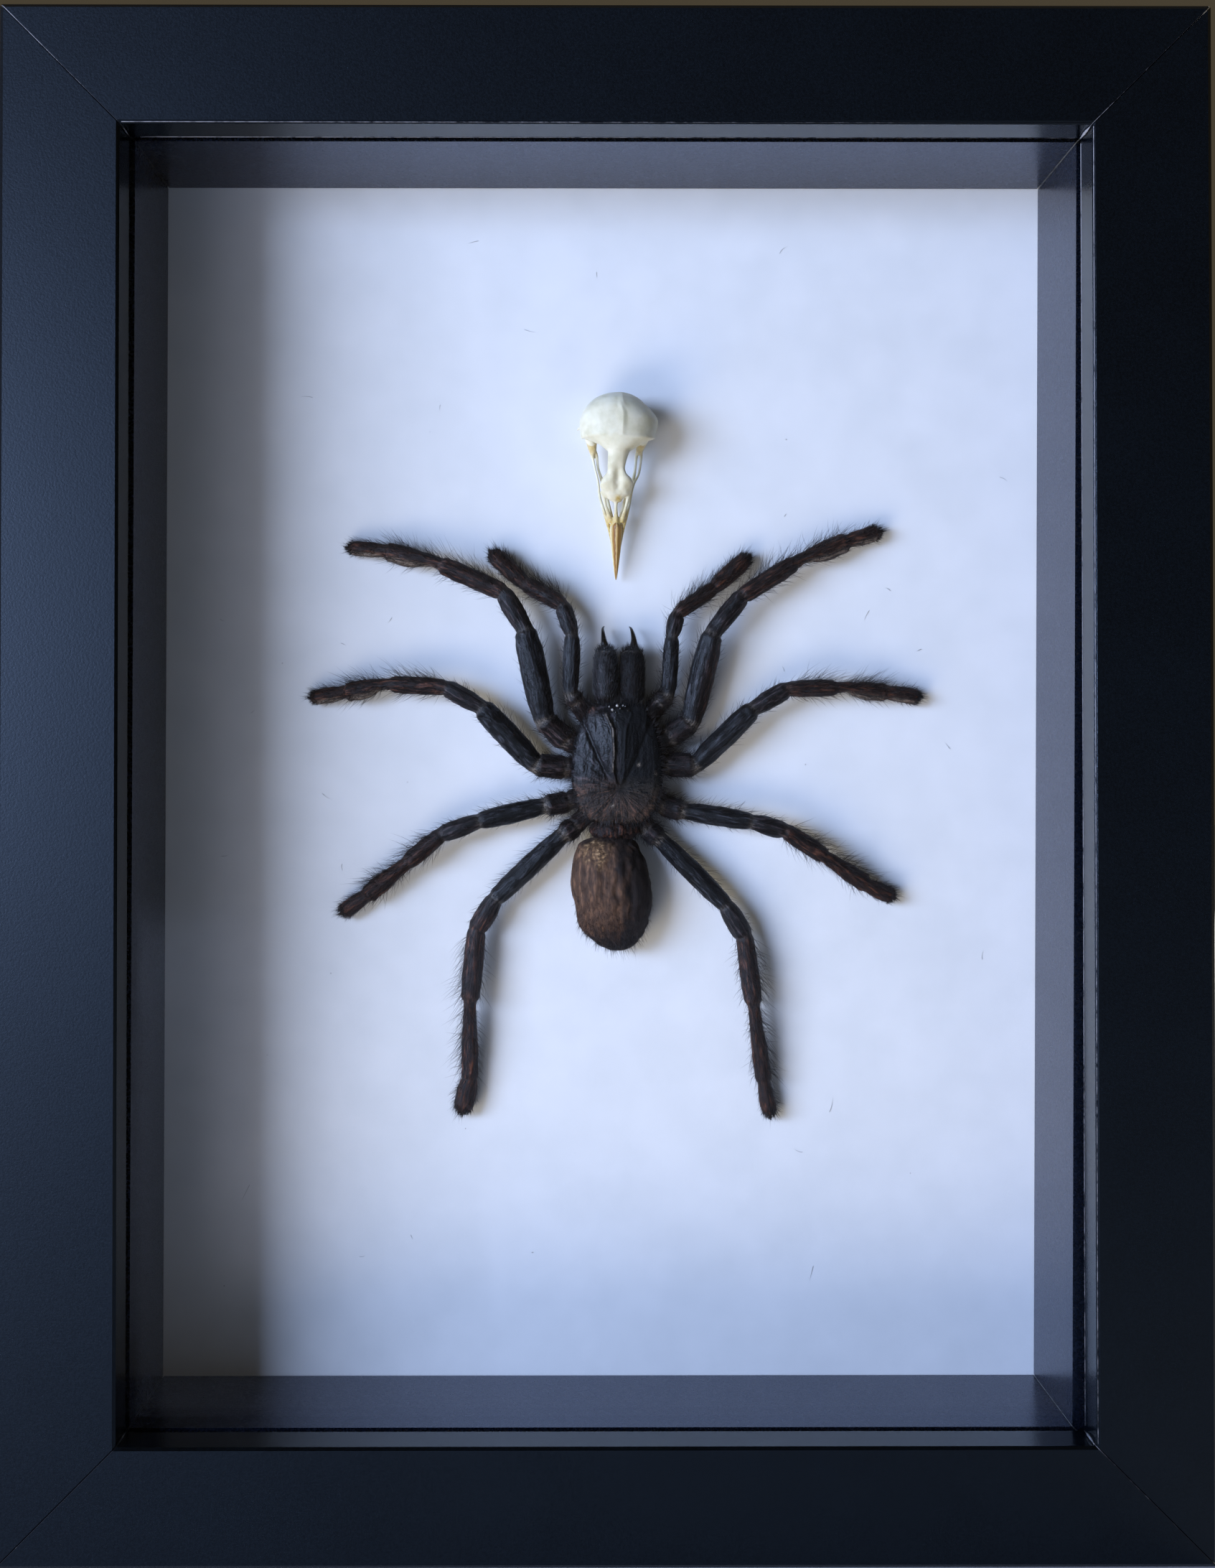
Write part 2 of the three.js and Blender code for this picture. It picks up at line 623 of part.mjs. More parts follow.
function sheathGeometry() {
  const rings = SHEATH_SLICES.map(([up, halfWidth, out, halfHeight]) =>
    slice([up, BEAK_LINE, halfWidth, out, halfHeight], SHEATH_SIDES),
  );
  return loft(rings);
}

function addSkull() {
  add("bird_skull", skullGeometry(), BONE());
  add("bill_sheath", sheathGeometry(), HORN());
}

addFrame();
addSheets();
addSpacer();
addTabs();
addHanger();
addSpiderBody();
addLimbs();
addSkull();

export default framed;
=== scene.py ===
# A dried tarantula and a small bird skull on a white card, in a deep black box frame under glass.
# Sizes and places are in millimetres, in the frame's own axes: +Z is up, the glass faces -Y, and the origin
# is the middle of the frame's foot. They become metres where a mesh is made.
import math

import bpy
import numpy as np
from mathutils import Matrix, Vector, geometry, noise


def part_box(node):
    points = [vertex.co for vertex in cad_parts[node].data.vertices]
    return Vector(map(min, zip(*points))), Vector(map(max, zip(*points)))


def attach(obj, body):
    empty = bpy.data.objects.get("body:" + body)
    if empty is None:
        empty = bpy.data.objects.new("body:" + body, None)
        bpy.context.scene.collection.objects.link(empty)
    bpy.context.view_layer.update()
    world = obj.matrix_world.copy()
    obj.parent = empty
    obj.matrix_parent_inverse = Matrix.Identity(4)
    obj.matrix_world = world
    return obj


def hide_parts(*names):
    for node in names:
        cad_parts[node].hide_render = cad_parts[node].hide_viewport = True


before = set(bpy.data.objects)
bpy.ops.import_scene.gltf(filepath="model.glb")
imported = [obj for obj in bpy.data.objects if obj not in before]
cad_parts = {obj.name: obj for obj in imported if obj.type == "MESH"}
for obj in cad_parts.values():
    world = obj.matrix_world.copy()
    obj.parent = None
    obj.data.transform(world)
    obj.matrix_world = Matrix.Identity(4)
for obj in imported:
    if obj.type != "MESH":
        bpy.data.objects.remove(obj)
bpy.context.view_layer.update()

MM = 0.001
RANDOM = np.random.default_rng(11)
OUT = np.array([0.0, -1.0, 0.0])  # out of the card
UP = np.array([0.0, 0.0, 1.0])
TURN = 2 * math.pi


def box_mm(node):
    """A CAD node's lowest and highest corners."""
    return [np.array(corner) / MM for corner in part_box(node)]


CARD_FRONT = box_mm("backing_card")[0][1]
FRAME_MIDDLE = 136.0  # up from the foot
SPIDER = (3.0, 137.5)  # across and up from the foot to the middle of the carapace
SKULL = (3.0, 206.0)  # and to the widest place of the skull


# ---- Making meshes ----


def unit(vectors):
    """Vectors drawn to a length of one."""
    return vectors / np.maximum(np.linalg.norm(vectors, axis=-1, keepdims=True), 1e-9)


def on_card(specimen, places):
    """Points for places given as across, up and out from the card, measured from a specimen's middle."""
    across, up, out = np.moveaxis(np.asarray(places, float), -1, 0)
    return np.stack([specimen[0] + across, CARD_FRONT - out, specimen[1] + up], -1)


def lumps(points, size, octaves=2):
    """Smooth noise from about -1 to 1 at each point, with lumps of that size."""
    flat = (np.asarray(points, float) / size).reshape(-1, 3).tolist()
    values = np.array([noise.fractal(p, 1.0, 2.0, octaves) for p in flat])
    return values.reshape(np.shape(points)[:-1])


def hump(x, reach):
    """1 at nought, falling smoothly to nothing at about twice the reach."""
    return np.exp(-((x / reach) ** 2))


def softened(rows, reach):
    """Rows averaged with their neighbours over about that many rows."""
    span = max(1, int(3 * reach))
    weights = hump(np.arange(-span, span + 1), reach)
    pad = [(span, span)] + [(0, 0)] * (rows.ndim - 1)
    padded = np.pad(rows, pad, mode="reflect", reflect_type="odd")
    return sum(w * padded[i : i + len(rows)] for i, w in enumerate(weights)) / weights.sum()


def smooth_rows(rows, count):
    """A smooth curve through rows of numbers, as count rows evenly spread."""
    rows = np.asarray(rows, float)
    at = np.linspace(0, len(rows) - 1, count)
    i = np.minimum(at.astype(int), len(rows) - 2)
    t = (at - i)[:, None]
    ends = [2 * rows[0] - rows[1]], [2 * rows[-1] - rows[-2]]
    a, b, c, d = (np.vstack([ends[0], rows, ends[1]])[i + k] for k in range(4))
    return b + t * (c - a) / 2 + t**2 * (a - 2.5 * b + 2 * c - d / 2) + t**3 * (1.5 * (b - c) + (d - a) / 2)


def oval_rings(centres, headings, half_width, half_height, sides):
    """Rings of points round the centres, square to the headings; the halves may change round each ring."""
    side = unit(np.cross(headings, OUT))[:, None]
    out = unit(np.cross(side, headings[:, None]))
    angle = np.arange(sides) * TURN / sides
    wide = (half_width * np.cos(angle))[..., None]
    high = (half_height * np.sin(angle))[..., None]
    return centres[:, None] + side * wide + out * high


def outward(points, faces):
    """Triangles turned to face out of a closed skin."""
    a, b, c = points[faces].transpose(1, 0, 2)
    return faces if np.einsum("ij,ij->i", a, np.cross(b, c)).sum() > 0 else faces[:, ::-1]


def skin_over(rings):
    """Points and triangles of a closed skin over a stack of rings, with a fan over each end."""
    count, sides = rings.shape[:2]
    points = np.vstack([rings.reshape(-1, 3), rings[0].mean(0), rings[-1].mean(0)])
    row, i = np.meshgrid(np.arange(count - 1) * sides, np.arange(sides), indexing="ij")
    j = (i + 1) % sides
    walls = np.stack([row + i, row + j, row + sides + j, row + i, row + sides + j, row + sides + i], -1)
    i, j = i[0], j[0]
    first, last = np.full(sides, len(points) - 2), np.full(sides, len(points) - 1)
    end = (count - 1) * sides
    fans = [np.stack([first, j, i], -1), np.stack([last, end + i, end + j], -1)]
    return points, outward(points, np.vstack([walls.reshape(-1, 3), *fans]))


def for_points(grid):
    """Values at the rings' points and at the middle of both end rings, in the order of skin_over."""
    flat = grid.reshape(-1, *grid.shape[2:])
    return np.concatenate([flat, grid[:1].mean(1), grid[-1:].mean(1)])


def together(parts):
    """Several lots of points and triangles as one."""
    points, faces, start = [], [], 0
    for some_points, some_faces in parts:
        points.append(some_points)
        faces.append(some_faces + start)
        start += len(some_points)
    return np.vstack(points), np.vstack(faces)


def rod(places, widths, sides, steps, specimen=SKULL):
    """A smooth tapering round rod through places on the card."""
    rows = smooth_rows(np.column_stack([on_card(specimen, places), widths]), steps)
    half = rows[:, 3:] / 2
    return skin_over(oval_rings(rows[:, :3], unit(np.gradient(rows[:, :3], axis=0)), half, half, sides))


def bead(centre, radius, rings=8, sides=12):
    """A small round bead."""
    angle = np.linspace(0.02, math.pi - 0.02, rings)
    centres = centre + np.outer(-np.cos(angle) * radius, UP)
    half = (np.sin(angle) * radius)[:, None]
    return skin_over(oval_rings(centres, np.tile(UP, (rings, 1)), half, half, sides))


def add_piece(name, shape, finish, replaces=(), values=None, smooth=True):
    """A mesh piece of the object. values are numbers or vectors at its points, for its finish to read."""
    points, faces = shape
    mesh = bpy.data.meshes.new(name)
    mesh.vertices.add(len(points))
    mesh.vertices.foreach_set("co", (points * MM).ravel())
    mesh.loops.add(faces.size)
    mesh.loops.foreach_set("vertex_index", faces.ravel())
    mesh.polygons.add(len(faces))
    mesh.polygons.foreach_set("loop_start", np.arange(0, faces.size, 3))
    mesh.polygons.foreach_set("use_smooth", np.full(len(faces), smooth))
    mesh.update(calc_edges=True)
    for key, numbers in (values or {}).items():
        kind, part = ("FLOAT", "value") if numbers.ndim == 1 else ("FLOAT_VECTOR", "vector")
        mesh.attributes.new(key, kind, "POINT").data.foreach_set(part, numbers.astype(np.float32).ravel())
    mesh.materials.append(finish)
    piece = bpy.data.objects.new(name, mesh)
    bpy.context.scene.collection.objects.link(piece)
    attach(piece, "root")
    if replaces:
        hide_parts(*replaces)
    return piece


# ---- Hairs ----

STRAND_SIDES = 3
CARD_CLEARANCE = 0.08  # a hair that would pass through the card lies on it


def strands(roots, headings, reach, thick, curl, steps):
    """Tapering hairs as closed three-sided spikes, each curving towards curl by its tip."""
    t = np.linspace(0, 1, steps + 1)[:, None]
    spine = roots[:, None] + reach[:, None, None] * (t * headings[:, None] + t**2 * curl[:, None])
    spine[..., 1] = np.minimum(spine[..., 1], CARD_FRONT - CARD_CLEARANCE)
    heading = unit(np.gradient(spine, axis=1))
    side = unit(np.cross(heading, unit(RANDOM.normal(size=(len(roots), 1, 3)))))
    other = np.cross(heading, side)
    angle = (np.arange(STRAND_SIDES) * TURN / STRAND_SIDES)[:, None]
    half = 0.5 * thick * (1 - 0.8 * t[:-1, :, None] ** 1.5)
    around = side[:, :-1, None] * np.cos(angle) + other[:, :-1, None] * np.sin(angle)
    rings = (spine[:, :-1, None] + half * around).reshape(len(roots), -1, 3)
    points = np.concatenate([rings, spine[:, -1:]], 1)
    one = [[0, 2, 1]]
    for k in range(steps - 1):
        for i in range(STRAND_SIDES):
            a, b = k * STRAND_SIDES + i, k * STRAND_SIDES + (i + 1) % STRAND_SIDES
            one += [[a, b, b + STRAND_SIDES], [a, b + STRAND_SIDES, a + STRAND_SIDES]]
    last = (steps - 1) * STRAND_SIDES
    one += [[last + i, last + (i + 1) % STRAND_SIDES, last + STRAND_SIDES] for i in range(STRAND_SIDES)]
    faces = np.array(one) + (np.arange(len(roots)) * points.shape[1])[:, None, None]
    return points.reshape(-1, 3), faces.reshape(-1, 3)


def grow(piece, count, weight, length, towards, lean, thick, steps, scatter=0.3, curl=0.3):
    """Hairs rooted on a skin. weight is how thickly and length how long they grow at each of its points;
    they lean from the surface towards a direction, and curl that way."""
    mesh = piece.data
    points, normals = np.zeros(len(mesh.vertices) * 3), np.zeros(len(mesh.vertices) * 3)
    mesh.vertices.foreach_get("co", points)
    mesh.vertices.foreach_get("normal", normals)
    points, normals = points.reshape(-1, 3) / MM, normals.reshape(-1, 3)
    at = RANDOM.choice(len(points), count, p=weight / weight.sum())
    roots = points[at] + RANDOM.normal(0, 0.1, (len(at), 3)) - 0.08 * normals[at]
    aim = np.broadcast_to(towards, points.shape)[at]
    stray = RANDOM.normal(0, scatter, (len(at), 3))
    headings = unit(normals[at] + np.broadcast_to(lean, len(points))[at, None] * aim + stray)
    reach = np.broadcast_to(length, len(points))[at] * RANDOM.uniform(0.5, 1.15, len(at))
    bend = curl * (aim + RANDOM.normal(0, 0.5, (len(at), 3)))
    return strands(roots, headings, reach, thick, bend, steps)


# ---- Finishes ----


def srgb(code):
    """A linear colour from an sRGB hex value."""
    shares = [int(code[i : i + 2], 16) / 255 for i in (1, 3, 5)]
    return (*[s / 12.92 if s <= 0.04045 else ((s + 0.055) / 1.055) ** 2.4 for s in shares], 1.0)


def per_metre(size):
    """A pattern's scale for lumps of that many millimetres, where places are in metres."""
    return 1 / (size * MM)


def fill(material, node, inputs):
    """Sets a node's inputs, each to a value, a hex colour or another node's output."""
    for key, value in inputs.items():
        if isinstance(value, bpy.types.NodeSocket):
            material.node_tree.links.new(value, node.inputs[key])
        else:
            node.inputs[key].default_value = srgb(value) if isinstance(value, str) else value


def add_node(material, kind, inputs=None, stops=(), output=0, **settings):
    """Adds a node with its settings, inputs and colour stops, and gives one of its outputs."""
    node = material.node_tree.nodes.new("ShaderNode" + kind)
    for key, value in settings.items():
        setattr(node, key, value)
    for i, (place, colour) in enumerate(stops):
        elements = node.color_ramp.elements
        element = elements[i] if i < 2 else elements.new(place)
        element.position, element.color = place, srgb(colour)
    fill(material, node, inputs or {})
    return node.outputs[output]


def new_finish(name, constants):
    """A material and its main shader, with what is the same all over set on the shader's own sockets."""
    material = bpy.data.materials.new(name)
    material.use_nodes = True
    shader = material.node_tree.nodes["Principled BSDF"]
    fill(material, shader, constants)
    return material, shader


def black_foil():
    """Matt black foil pressed round MDF moulding: a fine leathery emboss with a cool sheen.
    The back was never wrapped and shows the brown board."""
    foil, surface = new_finish("embossed_black_foil", {
        "Specular IOR Level": 0.55, "Specular Tint": "#bccfdc",
    })
    place = add_node(foil, "TexCoord", output="Object")
    normal = place.node.outputs["Normal"]
    emboss = add_node(
        foil, "TexNoise",
        {"Vector": place, "Scale": per_metre(0.4), "Detail": 3.0, "Roughness": 0.6},
    )
    cloud = add_node(foil, "TexNoise", {"Vector": place, "Scale": per_metre(14), "Detail": 2.0})
    speckle = add_node(foil, "Math", {0: cloud, 1: 0.35, 2: emboss}, operation="MULTIPLY_ADD")
    face = add_node(foil, "ValToRGB", {"Fac": speckle}, [(0.45, "#010204"), (0.85, "#04080d")])
    grain = add_node(
        foil, "TexNoise",
        {"Vector": place, "Scale": per_metre(0.5), "Detail": 5.0, "Roughness": 0.7},
    )
    board = add_node(foil, "ValToRGB", {"Fac": grain}, [(0.35, "#7d5f42"), (0.7, "#a78661")])
    facing = add_node(foil, "SeparateXYZ", {0: normal}, output="Y")
    bare = add_node(foil, "Math", {0: facing, 1: 0.5}, operation="GREATER_THAN")
    colour = add_node(foil, "Mix", {0: bare, 6: face, 7: board}, data_type="RGBA", output=2)
    dull = add_node(foil, "MapRange", {"Value": emboss, "To Min": 0.32, "To Max": 0.47})
    # Inside the opening the emboss is rolled flat, so there the foil mirrors the card.
    from_middle = add_node(
        foil, "VectorMath", {0: place, 1: (0.0, 0.0, FRAME_MIDDLE * MM)}, operation="SUBTRACT"
    )
    outwards = add_node(
        foil, "VectorMath", {0: from_middle, 1: normal}, operation="DOT_PRODUCT", output="Value"
    )
    inside = add_node(foil, "Math", {0: outwards, 1: 0.0}, operation="LESS_THAN")
    dull = add_node(foil, "Math", {0: inside, 1: -0.2, 2: dull}, operation="MULTIPLY_ADD")
    bump = add_node(foil, "Bump", {"Height": emboss, "Strength": 0.4, "Distance": 0.06 * MM})
    fill(foil, surface, {"Base Color": colour, "Roughness": dull, "Normal": bump})
    return foil


def satin_foil():
    """Satin foil on the spacer strips: darker than the frame's face, and it mirrors the card softly."""
    foil, surface = new_finish("satin_black_foil", {"Specular IOR Level": 1.0, "Specular Tint": "#aec5ff"})
    place = add_node(foil, "TexCoord", output="Object")
    mottle = add_node(
        foil, "TexNoise", {"Vector": place, "Scale": per_metre(0.5), "Detail": 4.0, "Roughness": 0.6}
    )
    colour = add_node(foil, "ValToRGB", {"Fac": mottle}, [(0.3, "#03060c"), (0.75, "#080d18")])
    dull = add_node(foil, "MapRange", {"Value": mottle, "To Min": 0.2, "To Max": 0.34})
    bump = add_node(foil, "Bump", {"Height": mottle, "Strength": 0.15, "Distance": 0.03 * MM})
    fill(foil, surface, {"Base Color": colour, "Roughness": dull, "Normal": bump})
    return foil


def picture_glass():
    """Clear float glass: it lets the light through and mirrors a little, most at a slant."""
    glass = bpy.data.materials.new("float_glass")
    glass.use_nodes = True
    glass.node_tree.nodes.remove(glass.node_tree.nodes["Principled BSDF"])
    place = add_node(glass, "TexCoord", output="Object")
    haze = add_node(glass, "TexNoise", {"Vector": place, "Scale": per_metre(30), "Detail": 3.0})
    rough = add_node(glass, "MapRange", {"Value": haze, "To Min": 0.01, "To Max": 0.05})
    mirror = add_node(glass, "BsdfGlossy", {"Color": "#ffffff", "Roughness": rough})
    clear = add_node(glass, "BsdfTransparent", {"Color": "#fbfdfc"})
    facing = add_node(glass, "LayerWeight", {"Blend": 0.5}, output="Facing")
    slant = add_node(glass, "Math", {0: facing, 1: 5.0}, operation="POWER")
    share = add_node(glass, "Math", {0: slant, 1: 0.8, 2: 0.012}, operation="MULTIPLY_ADD")
    both = add_node(glass, "MixShader", {0: share, 1: clear, 2: mirror})
    fill(glass, glass.node_tree.nodes["Material Output"], {"Surface": both})
    return glass


def mount_board():
    """Uncoated white mount board: dead matt, with flattened fibres that barely show."""
    board, surface = new_finish("uncoated_mount_board", {"Roughness": 0.92, "Specular IOR Level": 0.2})
    place = add_node(board, "TexCoord", output="Object")
    fibres = add_node(
        board, "TexNoise",
        {"Vector": place, "Scale": per_metre(0.4), "Detail": 5.0, "Roughness": 0.65, "Distortion": 1.2},
    )
    clouds = add_node(board, "TexNoise", {"Vector": place, "Scale": per_metre(9), "Detail": 2.0})
    shade = add_node(board, "Math", {0: fibres, 1: 0.5, 2: clouds}, operation="MULTIPLY_ADD")
    colour = add_node(board, "ValToRGB", {"Fac": shade}, [(0.4, "#e4e5e7"), (1.0, "#eeeef0")])
    bump = add_node(board, "Bump", {"Height": fibres, "Strength": 0.25, "Distance": 0.04 * MM})
    fill(board, surface, {"Base Color": colour, "Normal": bump})
    return board


def hardboard():
    """Brown hardboard: hot-pressed wood fibre, smooth but mottled, with darker flecks."""
    board, surface = new_finish("pressed_hardboard", {"Roughness": 0.62, "Specular IOR Level": 0.4})
    place = add_node(board, "TexCoord", output="Object")
    fibres = add_node(
        board, "TexNoise",
        {"Vector": place, "Scale": per_metre(1.6), "Detail": 8.0, "Roughness": 0.7, "Distortion": 2.0},
    )
    flecks = add_node(board, "TexVoronoi", {"Vector": place, "Scale": per_metre(2.2)})
    shade = add_node(board, "Math", {0: flecks, 1: 0.3, 2: fibres}, operation="MULTIPLY_ADD")
    colour = add_node(
        board, "ValToRGB", {"Fac": shade}, [(0.35, "#4f3621"), (0.85, "#8a6640"), (0.55, "#6f4f31")]
    )
    bump = add_node(board, "Bump", {"Height": fibres, "Strength": 0.3, "Distance": 0.08 * MM})
    fill(board, surface, {"Base Color": colour, "Normal": bump})
    return board


def sheet_metal(name, colour, roughness):
    """Stamped strip metal, with fine rolling lines that spread its shine."""
    metal, surface = new_finish(name, {"Base Color": colour, "Metallic": 1.0})
    place = add_node(metal, "TexCoord", output="Object")
    lines = add_node(metal, "Mapping", {"Vector": place, "Scale": (1.0, 1.0, 12.0)})
    rolled = add_node(metal, "TexNoise", {"Vector": lines, "Scale": per_metre(1.5), "Detail": 4.0})
    dull = add_node(
        metal, "MapRange", {"Value": rolled, "To Min": roughness - 0.08, "To Max": roughness + 0.12}
    )
    bump = add_node(metal, "Bump", {"Height": rolled, "Strength": 0.2, "Distance": 0.02 * MM})
    fill(metal, surface, {"Roughness": dull, "Normal": bump})
    return metal


def rubbed_foil_and_highlight():
    """Foil rubbed or torn through to the pale board, in broken flecks along joints and at the opening's
    corners; the same pale flecks along the front arris and the lip by the glass are painted highlights.
    """
    foil, surface = new_finish("rubbed_foil_and_highlight", {"Roughness": 0.5, "Specular IOR Level": 0.36})
    place = add_node(foil, "TexCoord", output="Object")
    wear_and_highlight = add_node(foil, "Attribute", attribute_name="wear_and_highlight", output="Fac")
    broken = add_node(
        foil, "TexNoise", {"Vector": place, "Scale": per_metre(2.2), "Detail": 6.0, "Roughness": 0.75}
    )
    near = add_node(foil, "Math", {0: wear_and_highlight, 1: 0.5, 2: broken}, operation="MULTIPLY_ADD")
    torn = add_node(foil, "MapRange", {"Value": near, "From Min": 0.62, "From Max": 0.8})
    shown = add_node(foil, "Math", {0: torn, 1: wear_and_highlight}, operation="MULTIPLY")
    colour = add_node(foil, "Mix", {0: shown, 6: "#080b10", 7: "#a7abb0"}, data_type="RGBA", output=2)
    fill(foil, surface, {"Base Color": colour})
    return foil


def dried_cuticle():
    """Dried spider's cuticle: blue-black and waxy on the upper joints, dark brown towards the tips, wrinkled
    lengthwise, with pale skin at the joints and pale pads under the feet. Its black attribute also paints
    shade on the side turned from the light, and its pale attribute a highlight along the carapace's crest."""
    skin, surface = new_finish("dried_cuticle", {
        "Specular IOR Level": 0.38, "Sheen Weight": 0.05, "Sheen Roughness": 0.45, "Sheen Tint": "#9fb2cc",
    })
    place = add_node(skin, "Attribute", attribute_name="limb_place", output="Vector")
    brown = add_node(skin, "Attribute", attribute_name="brown", output="Fac")
    pale = add_node(skin, "Attribute", attribute_name="pale", output="Fac")
    drawn = add_node(skin, "Mapping", {"Vector": place, "Scale": (1.0, 1.0, 0.16)})
    streaks = add_node(
        skin, "TexNoise", {"Vector": drawn, "Scale": 1 / 0.42, "Detail": 5.0, "Roughness": 0.6}
    )
    fine = add_node(skin, "TexNoise", {"Vector": place, "Scale": 1 / 0.2, "Detail": 3.0})
    waxy = add_node(
        skin, "ValToRGB", {"Fac": streaks}, [(0.36, "#030405"), (0.68, "#353b44"), (0.54, "#0b0d11")]
    )
    furred = add_node(
        skin, "ValToRGB", {"Fac": streaks}, [(0.36, "#0c0605"), (0.68, "#6b402b"), (0.53, "#25140d")]
    )
    tone = add_node(skin, "Mix", {0: brown, 6: waxy, 7: furred}, data_type="RGBA", output=2)
    patch = add_node(skin, "Math", {0: fine, 1: streaks}, operation="ADD")
    edge = add_node(skin, "MapRange", {"Value": patch, "From Min": 0.86, "From Max": 1.14})
    shown = add_node(skin, "Math", {0: edge, 1: pale}, operation="MULTIPLY")
    # black pulls the colour to near black: painted shade on the right of the carapace, the right jaw and the
    # right legs by the body, turned from the light; it darkens the jaws' tips and the carapace's rear too.
    black = add_node(skin, "Attribute", attribute_name="black", output="Fac")
    tone = add_node(skin, "Mix", {0: black, 6: tone, 7: "#050507"}, data_type="RGBA", output=2)
    colour = add_node(skin, "Mix", {0: shown, 6: tone, 7: "#958a7e"}, data_type="RGBA", output=2)
    dull = add_node(skin, "MapRange", {"Value": brown, "To Min": 0.42, "To Max": 0.62})
    dull = add_node(skin, "Math", {0: black, 1: 0.35, 2: dull}, operation="MULTIPLY_ADD")
    folds = add_node(skin, "Math", {0: fine, 1: 0.4, 2: streaks}, operation="MULTIPLY_ADD")
    bump = add_node(skin, "Bump", {"Height": folds, "Strength": 0.8, "Distance": 0.2 * MM})
    fill(skin, surface, {"Base Color": colour, "Roughness": dull, "Normal": bump})
    return skin


def abdomen_skin():
    """The abdomen's dried skin: soft and leathery, brown with darker blotches and painted shade, and one
    bare tan patch.
    """
    skin, surface = new_finish("dried_abdomen_skin", {
        "Roughness": 0.72, "Specular IOR Level": 0.35, "Sheen Weight": 0.2, "Sheen Tint": "#8d7468",
    })
    place = add_node(skin, "TexCoord", output="Object")
    dark = add_node(skin, "Attribute", attribute_name="dark", output="Fac")
    tan = add_node(skin, "Attribute", attribute_name="tan", output="Fac")
    drawn = add_node(skin, "Mapping", {"Vector": place, "Scale": (1.0, 1.0, 0.22)})
    streaks = add_node(
        skin, "TexNoise", {"Vector": drawn, "Scale": per_metre(0.7), "Detail": 8.0, "Roughness": 0.68}
    )
    cells = add_node(
        skin, "TexNoise", {"Vector": place, "Scale": per_metre(0.7), "Detail": 6.0, "Roughness": 0.65}
    )
    brown = add_node(
        skin, "ValToRGB", {"Fac": streaks}, [(0.3, "#271a12"), (0.74, "#8b674e"), (0.52, "#503a2c")]
    )
    black = add_node(skin, "ValToRGB", {"Fac": streaks}, [(0.35, "#080607"), (0.7, "#2a201d")])
    gold = add_node(
        skin, "ValToRGB", {"Fac": cells}, [(0.38, "#35251a"), (0.68, "#c9a67c"), (0.53, "#6f5339")]
    )
    blotched = add_node(skin, "Mix", {0: dark, 6: brown, 7: black}, data_type="RGBA", output=2)
    colour = add_node(skin, "Mix", {0: tan, 6: blotched, 7: gold}, data_type="RGBA", output=2)
    bump = add_node(skin, "Bump", {"Height": streaks, "Strength": 0.7, "Distance": 0.15 * MM})
    fill(skin, surface, {"Base Color": colour, "Normal": bump})
    return skin


def hard_gloss(name, low, high, roughness):
    """Hard sclerotised horn, black and glossy, as on fangs, claws and eyes."""
    horn, surface = new_finish(name, {"Specular IOR Level": 0.6, "Coat Weight": 0.4, "Coat Roughness": 0.08})
    place = add_node(horn, "TexCoord", output="Object")
    wear = add_node(horn, "TexNoise", {"Vector": place, "Scale": per_metre(0.5), "Detail": 3.0})
    colour = add_node(horn, "ValToRGB", {"Fac": wear}, [(0.35, low), (0.7, high)])
    dull = add_node(horn, "MapRange", {"Value": wear, "To Min": roughness * 0.6, "To Max": roughness * 1.5})
    fill(horn, surface, {"Base Color": colour, "Roughness": dull})
    return horn


def hair(name, root, tip):
    """Spider's hair: thin stiff bristle with a soft shine, a little uneven in tone from hair to hair."""
    bristle, surface = new_finish(name, {"Roughness": 0.5, "Specular IOR Level": 0.5})
    place = add_node(bristle, "TexCoord", output="Object")
    tone = add_node(bristle, "TexNoise", {"Vector": place, "Scale": per_metre(1.5), "Detail": 2.0})
    colour = add_node(bristle, "ValToRGB", {"Fac": tone}, [(0.35, root), (0.65, tip)])
    fill(bristle, surface, {"Base Color": colour})
    return bristle


def bleached_bone():
    """Cleaned bird bone: thin, smooth and a little see-through, greenish cream, yellow where oil stayed."""
    bone, surface = new_finish("bleached_bone", {
        "Roughness": 0.48, "Subsurface Weight": 0.25, "Subsurface Radius": (1.0, 0.8, 0.6),
        "Subsurface Scale": 1.2 * MM, "Specular IOR Level": 0.4,
    })
    place = add_node(bone, "TexCoord", output="Object")
    oily = add_node(bone, "Attribute", attribute_name="oily", output="Fac")
    clouds = add_node(
        bone, "TexNoise", {"Vector": place, "Scale": per_metre(3.5), "Detail": 4.0, "Roughness": 0.6}
    )
    pores = add_node(bone, "TexNoise", {"Vector": place, "Scale": per_metre(0.45), "Detail": 4.0})
    cream = add_node(
        bone, "ValToRGB", {"Fac": clouds}, [(0.32, "#d2ccae"), (0.7, "#eeead6"), (0.5, "#e3ddc4")]
    )
    stain = add_node(bone, "ValToRGB", {"Fac": pores}, [(0.35, "#bf9f58"), (0.7, "#dfca88")])
    colour = add_node(bone, "Mix", {0: oily, 6: cream, 7: stain}, data_type="RGBA", output=2)
    bump = add_node(bone, "Bump", {"Height": pores, "Strength": 0.2, "Distance": 0.05 * MM})
    fill(bone, surface, {"Base Color": colour, "Normal": bump})
    return bone


